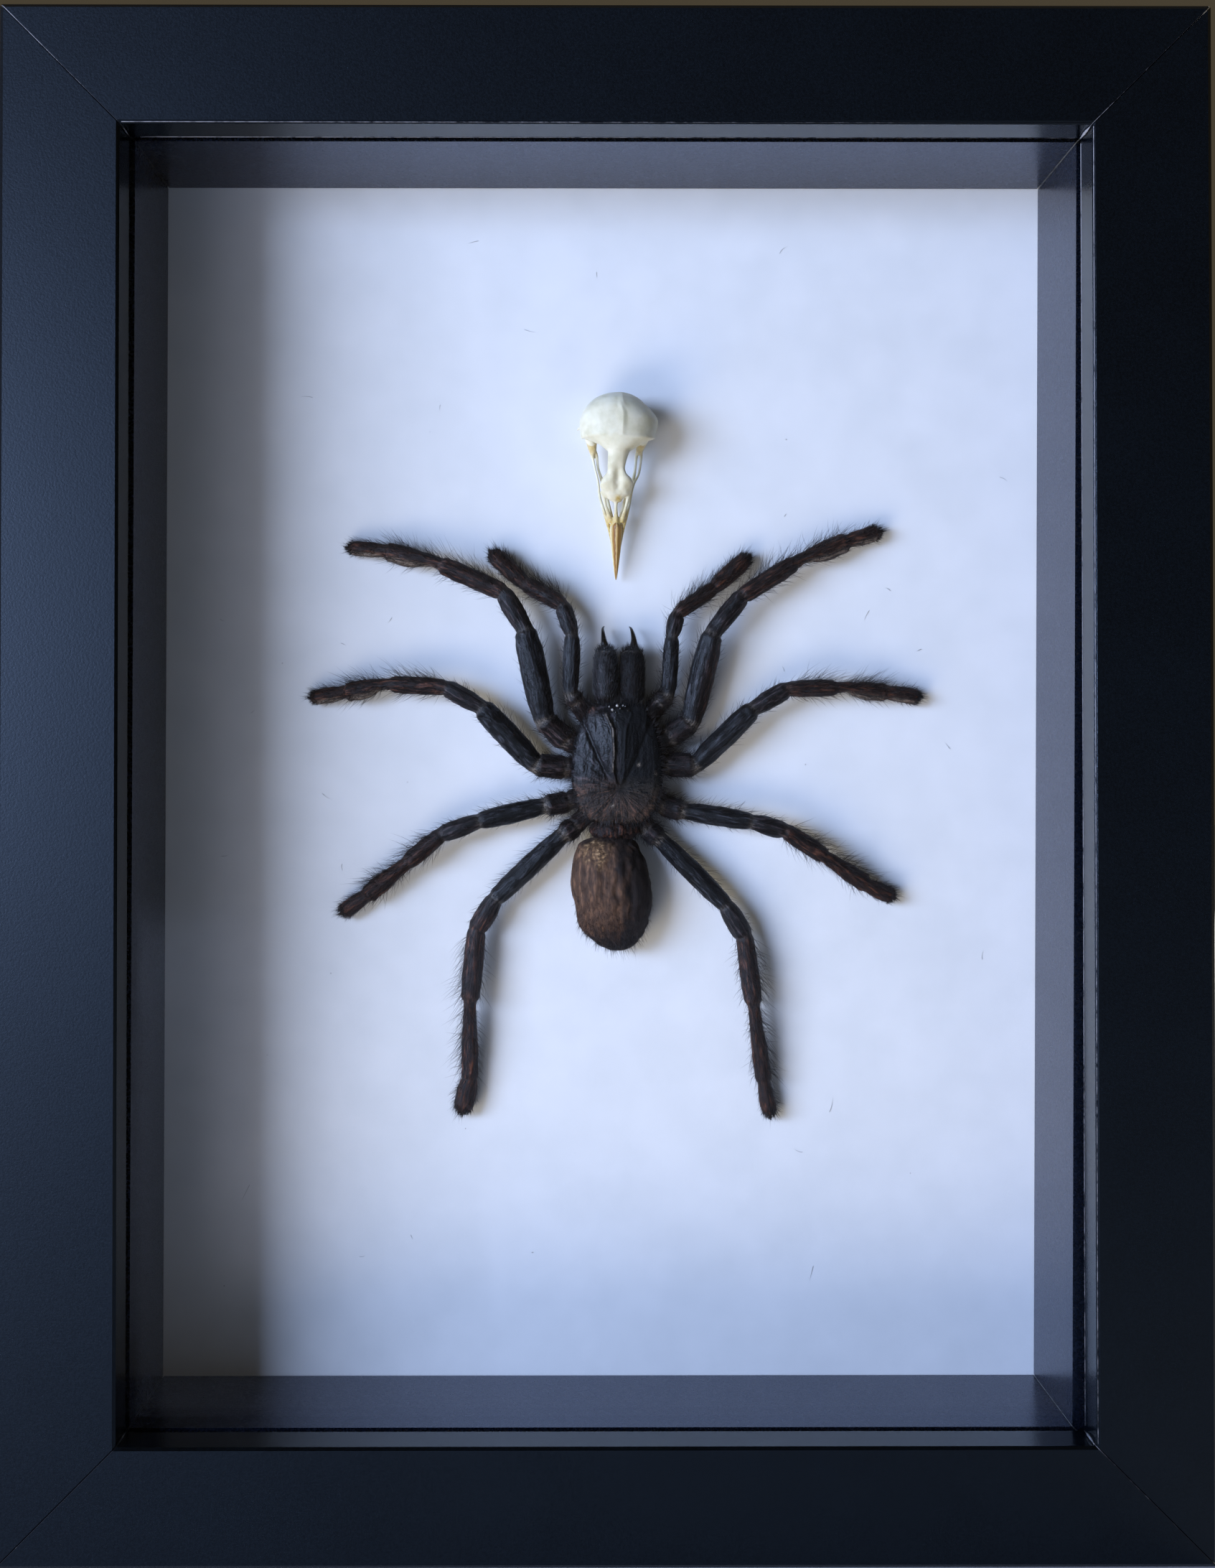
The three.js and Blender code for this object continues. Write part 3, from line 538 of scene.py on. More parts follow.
def bill_horn():
    """The bill's horn: orange-brown keratin, pale along the ridge, with a strip of painted shade, dark
    brown, down its right side.
    """
    horn, surface = new_finish("bill_keratin", {
        "Roughness": 0.4, "Subsurface Weight": 0.15, "Subsurface Radius": (1.0, 0.5, 0.25),
        "Subsurface Scale": 0.6 * MM,
    })
    place = add_node(horn, "TexCoord", output="Object")
    across = add_node(horn, "Attribute", attribute_name="round_bill", output="Fac")
    drawn = add_node(horn, "Mapping", {"Vector": place, "Scale": (1.0, 1.0, 0.1)})
    fibres = add_node(horn, "TexNoise", {"Vector": drawn, "Scale": per_metre(0.3), "Detail": 4.0})
    wander = add_node(horn, "Math", {0: fibres, 1: 0.16, 2: across}, operation="MULTIPLY_ADD")
    # The dark brown stop is painted shade, the strip down the bill's right side.
    colour = add_node(horn, "ValToRGB", {"Fac": wander}, [
        (0.1, "#e3dab4"), (0.98, "#e8dfbd"), (0.24, "#c79f5a"), (0.48, "#bb8a42"),
        (0.57, "#ecd095"), (0.64, "#7d5022"), (0.78, "#a67a38"), (0.9, "#d3c08b"),
    ])
    fill(horn, surface, {"Base Color": colour})
    return horn


def plain_floor():
    """Plain pale studio floor, very faintly clouded."""
    floor, surface = new_finish("pale_floor", {"Roughness": 0.8})
    place = add_node(floor, "TexCoord", output="Object")
    cloud = add_node(floor, "TexNoise", {"Vector": place, "Scale": 3.0})
    colour = add_node(floor, "ValToRGB", {"Fac": cloud}, [(0.3, "#c9c9c8"), (0.7, "#cfcfcd")])
    fill(floor, surface, {"Base Color": colour})
    return floor


FOIL = black_foil()
SPACER_FOIL = satin_foil()
RUBBED_FOIL_AND_HIGHLIGHT = rubbed_foil_and_highlight()
CUTICLE = dried_cuticle()
CLAW = hard_gloss("black_fang_horn", "#050506", "#1a1512", 0.22)
EYE = hard_gloss("dark_eye_lens", "#0b0b0d", "#2b2622", 0.08)
# The pearly lenses are pale partly by their own colour and partly as painted glints.
PEARL_AND_GLINT = hard_gloss("pearly_lens_and_glint", "#6a6663", "#bdb9b5", 0.1)
DARK_HAIR = hair("dark_setae", "#0d0a0a", "#241b18")
BROWN_FUR = hair("brown_fur", "#1d110d", "#523425")
GREY_FUR = hair("grey_fur", "#1c1c20", "#55575c")
BONE = bleached_bone()


# ---- Frame, glass and back ----


def finish_node(names, material):
    """Gives CAD nodes a finish."""
    for name in names:
        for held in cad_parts[name].material_slots:
            held.material = material


def finish_cad():
    """The finishes of the frame, glass, card and back."""
    finish_node(["frame_rail_top", "frame_rail_bottom", "frame_stile_left", "frame_stile_right"], FOIL)
    finish_node(["spacer_top", "spacer_bottom", "spacer_left", "spacer_right"], SPACER_FOIL)
    finish_node(["glass_pane"], picture_glass())
    finish_node(["backing_card"], mount_board())
    finish_node(["back_panel"], hardboard())
    steel = sheet_metal("zinc_plated_steel", "#a9abad", 0.36)
    finish_node([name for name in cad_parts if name.startswith("retaining_tab")], steel)
    finish_node(["hanging_plate"], steel)
    finish_node(["hanger_rivet_left", "hanger_rivet_right"], sheet_metal("brass_rivet", "#b0915a", 0.3))


# The moulding's section: how far in from the outer edge, and how far back; the joint stays just under it.
FRAME_LOW, FRAME_HIGH = box_mm("frame_rail_bottom")[0], box_mm("frame_rail_top")[1]
FACE, WALL, LIP, JOINT_DEPTH = 21.0, 13.5, 7.0, 0.02
MITRE_CLEARANCE = 0.2
EDGE_INSET = 0.12  # keeps the joints inside the moulding's outer faces
SPACER_JOINT = 0.09  # thickness


def closed_plate(outline, thickness):
    """A plate from a flat outline to the same outline moved by a thickness, given as a vector."""
    turning = np.cross(outline, np.roll(outline, -1, axis=0)).sum(0)
    outline = outline if turning @ thickness > 0 else outline[::-1]
    count = len(outline)
    caps = np.array(geometry.tessellate_polygon([[Vector(point) for point in outline]]))
    a, b, c = outline[caps].transpose(1, 0, 2)
    inward = np.cross(b - a, c - a) @ thickness > 0
    caps[inward] = caps[inward][:, ::-1]
    i = np.arange(count)
    j = (i + 1) % count
    walls = np.vstack([np.stack([i, j, count + j], -1), np.stack([i, count + j, count + i], -1)])
    return np.vstack([outline, outline + thickness]), np.vstack([caps, caps[:, ::-1] + count, walls])


def add_pale_mark(name, shape, wear_and_highlight):
    """A thin pale piece, rubbed or torn foil at the joints and corners and a painted highlight along the
    arrises, as pale as the values at its points say.
    """
    add_piece(name, shape, RUBBED_FOIL_AND_HIGHLIGHT, values={"wear_and_highlight": wear_and_highlight}, smooth=False)


# How far each joint's foil is rubbed through at the outer edge, at the opening and between the spacer
# strips.
JOINT_WEAR = {
    ("left", "top"): (0.55, 0.15, 0.26), ("right", "top"): (0.05, 0.4, 0.55),
    ("left", "bottom"): (0.2, 0.0, 0.28), ("right", "bottom"): (0.05, 0.35, 0.5),
}


def add_mitre_joints():
    """The glued joint at each mitre, filled almost flush: a faint hairline between the foils."""
    front, back = FRAME_LOW[1] + JOINT_DEPTH, FRAME_HIGH[1] - JOINT_DEPTH
    lip, edge, wall = FRAME_LOW[1] + LIP - JOINT_DEPTH, FACE - JOINT_DEPTH, WALL - JOINT_DEPTH
    section = [
        (0.9, front), (FACE - 0.5, front), (edge, front + 0.5), (edge, lip),
        (wall, lip), (wall, back), (EDGE_INSET, back), (EDGE_INSET, front + 0.8),
    ]
    for (side, level), (outer, inner, _) in JOINT_WEAR.items():
        x, inward_x = (FRAME_LOW[0], 1) if side == "left" else (FRAME_HIGH[0], -1)
        z, inward_z = (FRAME_LOW[2], 1) if level == "bottom" else (FRAME_HIGH[2], -1)
        outline = np.array([[x + inward_x * d, y, z + inward_z * d] for d, y in section])
        across = np.array([inward_z, 0, -inward_x]) * (MITRE_CLEARANCE - JOINT_DEPTH)
        plate = closed_plate(outline - across / 2, across)
        wear_and_highlight = np.interp(np.abs(plate[0][:, 0] - x), [0, FACE], [outer, inner])
        add_pale_mark(f"mitre_joint_{level}_{side}", plate, wear_and_highlight)


# The spacer strips' inner corners, across and up from the middle of the opening.
OPENING_MIDDLE = (FRAME_LOW[2] + FRAME_HIGH[2]) / 2
SPACER_CORNERS = {
    ("left", "top"): (-84.6, 115.2), ("right", "top"): (85.0, 115.2),
    ("left", "bottom"): (-85.0, -115.3), ("right", "bottom"): (83.5, -115.3),
}


def add_spacer_joints():
    """Rough cut ends show in the corners of the spacer strips, as a broken pale line."""
    front, back = box_mm("spacer_left")[0][1] + 0.3, CARD_FRONT - 0.35
    for (side, level), (x, z) in SPACER_CORNERS.items():
        outward_x, outward_z = math.copysign(1, x), math.copysign(1, z)
        line = [(0.05, front), (3.0, front), (3.0, back), (0.05, back)]
        outline = np.array([[x + outward_x * d, y, OPENING_MIDDLE + z + outward_z * d] for d, y in line])
        across = np.array([outward_z, 0, -outward_x]) * SPACER_JOINT
        plate = closed_plate(outline - across / 2, across)
        wear_and_highlight = np.full(len(plate[0]), JOINT_WEAR[side, level][2])
        add_pale_mark(f"spacer_joint_{level}_{side}", plate, wear_and_highlight)


# Torn foil at the opening's corners, and painted highlights along its front arris and the lip's edge by the
# glass: places across, up and back, each with a width, and how pale it is at both ends.
TORN_AND_HIGHLIGHT_PLACES = {
    "torn_corner_1": (
        [(84.75, 250.75, -21.6, 0.12), (84.7, 250.7, -19, 0.5), (84.75, 250.75, -16.2, 0.2)],
        0.8, 0.8,
    ),
    "torn_corner_2": (
        [(84.6, 21.3, -22, 0.2), (84.6, 21.45, -19.6, 0.42), (84.7, 21.3, -17.4, 0.2)],
        0.5, 0.5,
    ),
    "torn_corner_3": (
        [(-84.7, 21.25, -21, 0.1), (-84.75, 21.25, -19, 0.28), (-84.8, 21.2, -17, 0.1)],
        0.4, 0.4,
    ),
    "torn_corner_4": (
        [(-84.75, 250.8, -20.4, 0.1), (-84.7, 250.75, -18.8, 0.26), (-84.8, 250.8, -17.2, 0.1)],
        0.5, 0.5,
    ),
    # Painted highlights where the front arris and the lip's edge by the glass catch the light, paler towards
    # the top left.
    "painted_highlight_arris_top": (
        [(-84.6, 251.2, -22.28, 0.16), (20, 251.2, -22.28, 0.16), (84.6, 251.2, -22.28, 0.1)],
        0.55, 0.05,
    ),
    "painted_highlight_arris_right": (
        [(85.2, 250.6, -22.28, 0.16), (85.2, 136, -22.28, 0.16), (85.2, 21.4, -22.28, 0.14)],
        0.62, 0.4,
    ),
    "painted_highlight_lip_top": (
        [(-83, 251, -15.6, 0.14), (0, 251, -15.6, 0.14), (84, 251, -15.6, 0.12)],
        0.6, 0.3,
    ),
    "painted_highlight_lip_right": (
        [(85, 250, -15.6, 0.14), (85, 136, -15.6, 0.14), (85, 22, -15.6, 0.14)],
        0.7, 0.35,
    ),
}


def add_torn_and_highlight_places():
    """Torn foil at the opening's corners, and pale lines along its front arris and by the glass that are
    painted highlights.
    """
    for name, (places, first, last) in TORN_AND_HIGHLIGHT_PLACES.items():
        rows = smooth_rows(places, 14 if name.startswith("torn") else 160)
        rough = 0.4 * lumps(rows[:, :3], 0.7) if name.startswith("torn") else 0
        half = (rows[:, 3] / 2 * (1 + rough))[:, None, None]
        places = rows[:, [0, 2, 1]]
        spine = unit(np.gradient(places, axis=0))
        side = unit(np.cross(spine, [0.3, 1.0, 0.5]))
        other = np.cross(side, spine)
        angle = (np.arange(6) * TURN / 6)[:, None]
        rings = places[:, None] + half * (side[:, None] * np.cos(angle) + other[:, None] * np.sin(angle))
        wear_and_highlight = for_points(np.linspace(first, last, len(rows))[:, None] * np.ones(6))
        add_pale_mark(name, skin_over(rings), wear_and_highlight)


# ---- Tarantula: legs and palps ----

LIMB_SIDES = 28
RING_STEP = 0.28
LIMB_FLATNESS = 0.92
SETAE, MAT_HAIRS, FUR_HAIRS, TUFT_HAIRS = 1300, 560, 1700, 260  # hairs on each limb
JOINT_PALE = [0.4, 0.5, 0.2, 0.08, 0.06, 0.04]  # how pale the skin is at each joint from the body out

# Each segment: shares of its width at fractions along it, how brown it is, and its long hairs' length
# and thickness of growth.
SEGMENTS = {
    "coxa": ([(0, 0.8), (0.4, 1), (0.9, 1)], 0.55, 1.6, 0.5),
    "trochanter": ([(0.15, 1), (0.8, 0.94)], 0.35, 1.5, 0.4),
    "femur": ([(0.03, 0.8), (0.2, 0.98), (0.5, 1.04), (0.8, 1), (0.96, 0.84)], 0.06, 1.8, 0.5),
    "patella": ([(0.08, 0.88), (0.35, 1.04), (0.7, 1.05), (0.95, 0.9)], 0.22, 1.3, 0.45),
    "tibia": ([(0.06, 0.94), (0.3, 1), (0.75, 1.03), (0.96, 0.88)], 0.8, 3.0, 1.0),
    "metatarsus": ([(0.05, 0.76), (0.3, 0.84), (0.6, 1.04), (0.92, 1)], 0.95, 2.8, 1.1),
    "tarsus": ([(0.06, 0.88), (0.35, 1.04), (0.75, 1.04), (0.93, 0.78), (1, 0.42)], 1.0, 1.4, 1.3),
}

# Each limb's joints from body to tip, as across, up and out, and its segments' widths.
LIMBS = {
    "leg_1_left": (
        [(-5.6, 4.4, 3.1), (-10, 5.9, 3.5), (-14.3, 9.9, 4.2), (-17.9, 27.2, 5.6),
         (-22.2, 34.4, 5.6), (-34.2, 39.8, 4.4), (-44.9, 42.6, 2.8), (-52.4, 43.3, 1.9)],
        [3.2, 3.8, 5, 3.7, 3.6, 3.5, 2.8],
    ),
    "leg_2_left": (
        [(-5.6, 0.9, 3.1), (-10.2, 0.8, 3.5), (-15.9, 1.3, 4.2), (-26.3, 12.4, 5.4),
         (-33.2, 16.2, 5.4), (-43.8, 16.8, 4.4), (-52.7, 15.3, 2.8), (-59.6, 14.2, 1.9)],
        [3.2, 3.8, 4.6, 3.5, 3.3, 3.4, 2.8],
    ),
    "leg_3_left": (
        [(-5.6, -3.2, 3.1), (-9.6, -5.8, 3.5), (-14.2, -6.5, 4.2), (-26.8, -9.4, 5.2),
         (-34, -12, 5.2), (-40.6, -17.5, 4.2), (-48.6, -23.9, 2.8), (-53.6, -27.4, 1.9)],
        [2.8, 3.5, 3.7, 3.4, 3.3, 3.4, 3],
    ),
    "leg_4_left": (
        [(-4.4, -6.5, 3.1), (-8.4, -10.5, 3.5), (-10.7, -12.1, 4), (-23.7, -24.3, 4.2),
         (-27.3, -30.4, 3.9), (-28.5, -43.9, 4.1), (-28.6, -59, 2.5), (-30.2, -65.9, 2)],
        [2.8, 3.4, 3.9, 3.8, 3.8, 3.1, 3.7],
    ),
    "leg_1_right": (
        [(5.2, 4.6, 3.1), (9.8, 6.7, 3.5), (13.9, 9.5, 4.2), (17.9, 26.5, 5.6),
         (23.7, 33.7, 5.6), (33.9, 40.1, 4.4), (44.3, 44.5, 2.8), (50.8, 46.5, 1.9)],
        [3.2, 3.8, 4.7, 3.6, 3.5, 3.6, 3],
    ),
    "leg_2_right": (
        [(5.2, 1, 3.1), (9.4, 1.3, 3.5), (14.8, 1.3, 4.2), (25.8, 12.1, 5.4),
         (32.4, 15.9, 5.4), (41.9, 16.1, 4.4), (51.9, 15.3, 2.8), (58.6, 14.3, 1.9)],
        [3.2, 3.8, 4.2, 3.5, 3.2, 3.2, 2.9],
    ),
    "leg_3_right": (
        [(5.2, -3, 3.1), (8.6, -6.5, 3.5), (12.5, -7.5, 4.2), (25.4, -9.5, 5.2),
         (31.9, -11.3, 5.2), (39.7, -16.3, 4.2), (47.9, -21.8, 2.8), (53.4, -24.4, 1.9)],
        [2.8, 3.5, 3.7, 3.4, 3.3, 3.3, 3],
    ),
    "leg_4_right": (
        [(3.4, -7.1, 3.1), (5.5, -11, 3.5), (8, -13, 4), (20.6, -25.6, 4.2),
         (24.2, -31.6, 3.9), (25.9, -44.6, 4.1), (28, -59.8, 2.5), (29.3, -66.6, 2)],
        [2.8, 3.3, 3.8, 3.8, 3.6, 3, 2.8],
    ),
    "palp_left": (
        [(-5.2, 9.2, 3.1), (-8, 13.4, 3.8), (-9.3, 14.8, 4.4), (-8.9, 26.3, 5),
         (-10.8, 32.1, 4.4), (-18.1, 36.3, 3), (-24.7, 42.5, 2.2)],
        [2.8, 3, 3.2, 3.2, 3.2, 3.3],
    ),
    "palp_right": (
        [(5, 9.2, 3.1), (7.9, 13.4, 3.8), (9.6, 14.6, 4.4), (10.2, 25.9, 5),
         (11.3, 30.4, 4.4), (18.5, 35.5, 3), (25.3, 41.7, 2.2)],
        [2.8, 3, 3, 2.9, 2.9, 3.3],
    ),
}


def angle_between(a, b):
    """How far angle a lies from b, within half a turn either way."""
    return (a - b + math.pi) % TURN - math.pi


def add_limb(name, joints, widths, number):
    """One limb: its dried skin, drawn in at the joints and sunk between long folds, with its hairs."""
    kinds = [kind for key, kind in SEGMENTS.items() if key != "metatarsus" or len(joints) == 8]
    left = "left" in name
    below = math.pi if left else 0.0  # the side of the limb with the pads of short hair
    route = on_card(SPIDER, joints)
    starts = np.append(0, np.cumsum(np.linalg.norm(np.diff(route, axis=0), axis=1)))
    s = np.arange(0, starts[-1] + 0.01, RING_STEP)
    centres = softened(np.stack([np.interp(s, starts, route[:, k]) for k in range(3)], 1), 3.1)
    headings = unit(np.gradient(centres, axis=0))
    lengths = np.diff(starts)
    knots = [
        (start + fraction * length, share * width / 2)
        for start, length, width, (form, *_) in zip(starts, lengths, widths, kinds)
        for fraction, share in form
    ]
    half = softened(np.interp(s, *np.transpose(knots))[:, None], 1.2)[:, 0]
    half *= 1 + 0.24 * np.clip((starts[2] + 1 - s) / 2, 0, 1)  # the coxae swell with their mat of hair
    segment = np.clip(np.searchsorted(starts, s, side="right") - 1, 0, len(kinds) - 1)
    fraction = (s - starts[segment]) / lengths[segment]
    clear = np.ones(len(s))  # how far from a joint: nought at the joint
    for joint in starts[1:-1]:
        half *= 1 - 0.1 * hump(s - joint, 0.4) + 0.04 * hump(s - joint + 1.0, 0.5)
        clear *= 1 - hump(s - joint, 1.3)
    half *= np.sqrt(np.clip(1 - np.clip(1 - (s[-1] - s) / 1.2, 0, 1) ** 2, 0.03, 1))

    angle = np.arange(LIMB_SIDES) * TURN / LIMB_SIDES
    form = np.ones((len(s), LIMB_SIDES))
    for k, (at, depth) in enumerate([(0.75, 0.11), (1.45, 0.08), (2.3, 0.12), (5.2, 0.05)]):
        wander = at + 0.16 * np.sin(s / 3.1 + 2 * k + number)
        form -= depth * clear[:, None] * hump(angle_between(angle, wander[:, None]), 0.24)
    padded = np.clip(np.cos(angle - below), 0, 1)
    longest = len(kinds) - 2
    foot = (segment >= longest).astype(float)
    if name[:5] in ("leg_1", "leg_2"):
        notch = (segment == longest) * (hump(fraction - 0.18, 0.16) - 0.3 * hump(fraction - 0.65, 0.3))
        form -= 0.45 * notch[:, None] * padded
    half_grid = half[:, None] * form
    place = np.stack(
        [half_grid * np.cos(angle), half_grid * np.sin(angle), np.broadcast_to(s[:, None], form.shape)], -1
    ) + [0, 0, 90.0 * number]
    half_grid = half_grid + 0.07 * lumps(place * [1, 1, 0.2], 0.5, 3)
    half_grid = half_grid + 0.1 * lumps(place * [1, 1, 0.6], 1.6, 2)
    rings = oval_rings(centres, headings, half_grid, half_grid * LIMB_FLATNESS, LIMB_SIDES)

    brown = softened(np.array([kind[1] for kind in kinds])[segment][:, None], 2.4) * np.ones(LIMB_SIDES)
    if name == "leg_1_right":
        rubbed = ((segment == 2) * hump(fraction - 0.5, 0.45))[:, None]
        brown = brown + rubbed * hump(angle_between(angle, 0.5), 0.7)
    if name == "leg_4_left":
        brown = brown + 0.8 * ((segment == 3) * hump(fraction - 1, 0.5))[:, None]
    pale = np.zeros_like(form)
    for joint, amount in zip(starts[1:-1], JOINT_PALE):
        pale += amount * hump(s - joint, 0.5)[:, None]
    if name[:5] in ("leg_1", "leg_2"):
        pad = below + (-0.55 if left else 0.55)
        pale += 0.8 * (foot * clear)[:, None] * hump(angle_between(angle, pad), 0.42)
    # Painted shade: the right legs go darker near the body, on the side turned from the light.
    black = 0.0 if left else 0.35 * np.clip((12 - s) / 4, 0, 1)[:, None]
    values = {
        "limb_place": for_points(place), "brown": for_points(np.clip(brown, 0, 1)),
        "pale": for_points(np.clip(pale, 0, 1)), "black": for_points(black + np.zeros_like(form)),
    }
    limb = add_piece(name, skin_over(rings), CUTICLE, [name], values)
    towards = for_points(np.broadcast_to(headings[:, None], rings.shape))
    hairy = np.array([kind[3] for kind in kinds])[segment] * (0.35 + 0.65 * clear)
    length = np.array([kind[2] for kind in kinds])[segment]
    upper = np.clip(np.cos(angle - below - math.pi), 0, 1)
    facing = np.clip(np.sin(angle) + 0.35, 0, 1)
    weight = hairy[:, None] * (0.35 + 0.6 * upper + 0.4 * facing)
    reach = length[:, None] * (0.75 + 0.35 * upper)
    setae = grow(limb, SETAE, for_points(weight), for_points(1.1 * reach), towards, 1.0, 0.06, 3, 0.55, 0.4)
    root = np.clip((starts[2] + 0.5 - s) / 1.5, 0, 1)[:, None] * (0.3 + facing + np.abs(np.cos(angle)))
    mat = grow(limb, MAT_HAIRS, for_points(root), 1.7, towards, 0.5, 0.055, 3, 0.8, 0.5)
    fur_weight = (0.3 + brown + foot[:, None]) * (0.25 + facing)
    fur_reach = (0.34 + 0.26 * brown) * np.ones_like(form)
    fur = grow(limb, FUR_HAIRS, for_points(fur_weight), for_points(fur_reach), towards, 2.2, 0.06, 2)
    tip = (s > s[-1] - 1.4)[:, None] * np.ones_like(form)
    tuft = grow(limb, TUFT_HAIRS, for_points(tip), 0.7, towards, 1.0, 0.09, 2)
    add_piece(f"{name}_setae", together([setae, tuft, mat]), DARK_HAIR)
    add_piece(f"{name}_fur", fur, BROWN_FUR)


# ---- Tarantula: body ----

CARAPACE_MIDDLE = -0.3
CARAPACE_HALF = [
    (0, 13.3), (2.6, 13.2), (5, 12.9), (6.4, 10.8), (7.5, 8.6), (8.4, 5), (8.75, 1),
    (8.6, -2.9), (8, -5.4), (6.9, -7.9), (4.7, -9.6), (2.4, -10), (0, -9.9),
]
PROSOMA_UNDERSIDE = [(0.38, 0.5), (0.46, 0.8), (0.5, 1.2), (0.5, 3.2), (0.5, 5.3), (0.7, 5.4), (0.93, 5.6)]
CARAPACE_TOP = [(0, 8.65), (0.25, 8.6), (0.55, 8.4), (0.8, 7.9), (0.95, 7), (1, 6.1)]
FOVEA = (0.0, -3.1)
HEAD_GROOVES = [[(-6.9, 9.9), (-4.9, 4.9), (-2.1, -1.2)], [(6.3, 9.9), (4.3, 4.9), (1.6, -1.2)]]
CRESTS = [
    [(-2.5, 11.0), (-1.25, 8.2), (-0.95, 3.9), (-1.2, 0.2), (-0.6, -2.1)],
    [(2.3, 11.0), (1.3, 8.2), (1.0, 3.9), (1.0, 0.2), (0.4, -2.1)],
]
SPOKES = [
    (-8.6, 3.6), (-8.9, -0.6), (-8.0, -5.2), (-4.2, -9.4), (8.0, 3.6), (8.3, -0.6), (7.4, -5.2), (3.6, -9.4),
]
EYES = [
    (0.25, 12.0, 0.3), (1.2, 12.45, 0.3), (-0.36, 12.6, 0.3), (-1.3, 11.8, 0.28),
    (0.75, 12.6, 0.22), (-1.85, 12.4, 0.2), (1.7, 11.7, 0.26), (-0.6, 11.3, 0.2),
]


def from_path(across, up, path):
    """The distance from each point to a bent line on the carapace."""
    spots = np.stack([across, up], -1)
    nearest = np.full(across.shape, 1e9)
    for a, b in zip(np.array(path[:-1], float), np.array(path[1:], float)):
        t = np.clip((spots - a) @ (b - a) / ((b - a) @ (b - a)), 0, 1)
        nearest = np.minimum(nearest, np.linalg.norm(spots - a - t[..., None] * (b - a), axis=-1))
    return nearest


def carapace_relief(across, up):
    """How far the carapace stands above its plain dome: a raised head, crests, and a pit behind them."""
    middle = across - CARAPACE_MIDDLE
    along_head = np.minimum(1, np.abs(up - 6.5) / 6.5)
    across_head = np.minimum(1, np.abs(middle) / 4)
    rise = (1 - along_head**2) * (1 - across_head**2)
    edge = np.interp(up, [-1.2, 9.7, 13.3], [1.8, 6.4, 6.6])
    rise += 0.3 * np.clip((edge - np.abs(middle)) / 0.9, 0, 1) * np.clip((up + 2.5) / 3, 0, 1)
    for groove, depth in zip(HEAD_GROOVES, (0.3, 0.15)):
        rise -= depth * hump(from_path(across, up, groove), 0.38)
    for crest, height in zip(CRESTS, (0.5, 0.25)):
        rise += height * hump(from_path(across, up, crest), 0.26)
    rise -= 0.2 * hump(middle, 0.45) * np.clip((up + 2) / 3, 0, 1) * np.clip((10 - up) / 3, 0, 1)
    rise -= 0.75 * hump(from_path(across, up, [(-0.7, FOVEA[1]), (0.7, FOVEA[1])]), 0.75)
    for end in SPOKES:
        depth = 0.16 if end[0] < 0 else 0.07
        inner = (end[0] * 0.2, FOVEA[1] + (end[1] - FOVEA[1]) * 0.2)
        rise -= depth * hump(from_path(across, up, [inner, end]), 0.5)
    rise += 0.6 * hump(np.hypot((across - 0.1) / 1.5, up - 12.1), 1.1)
    return rise


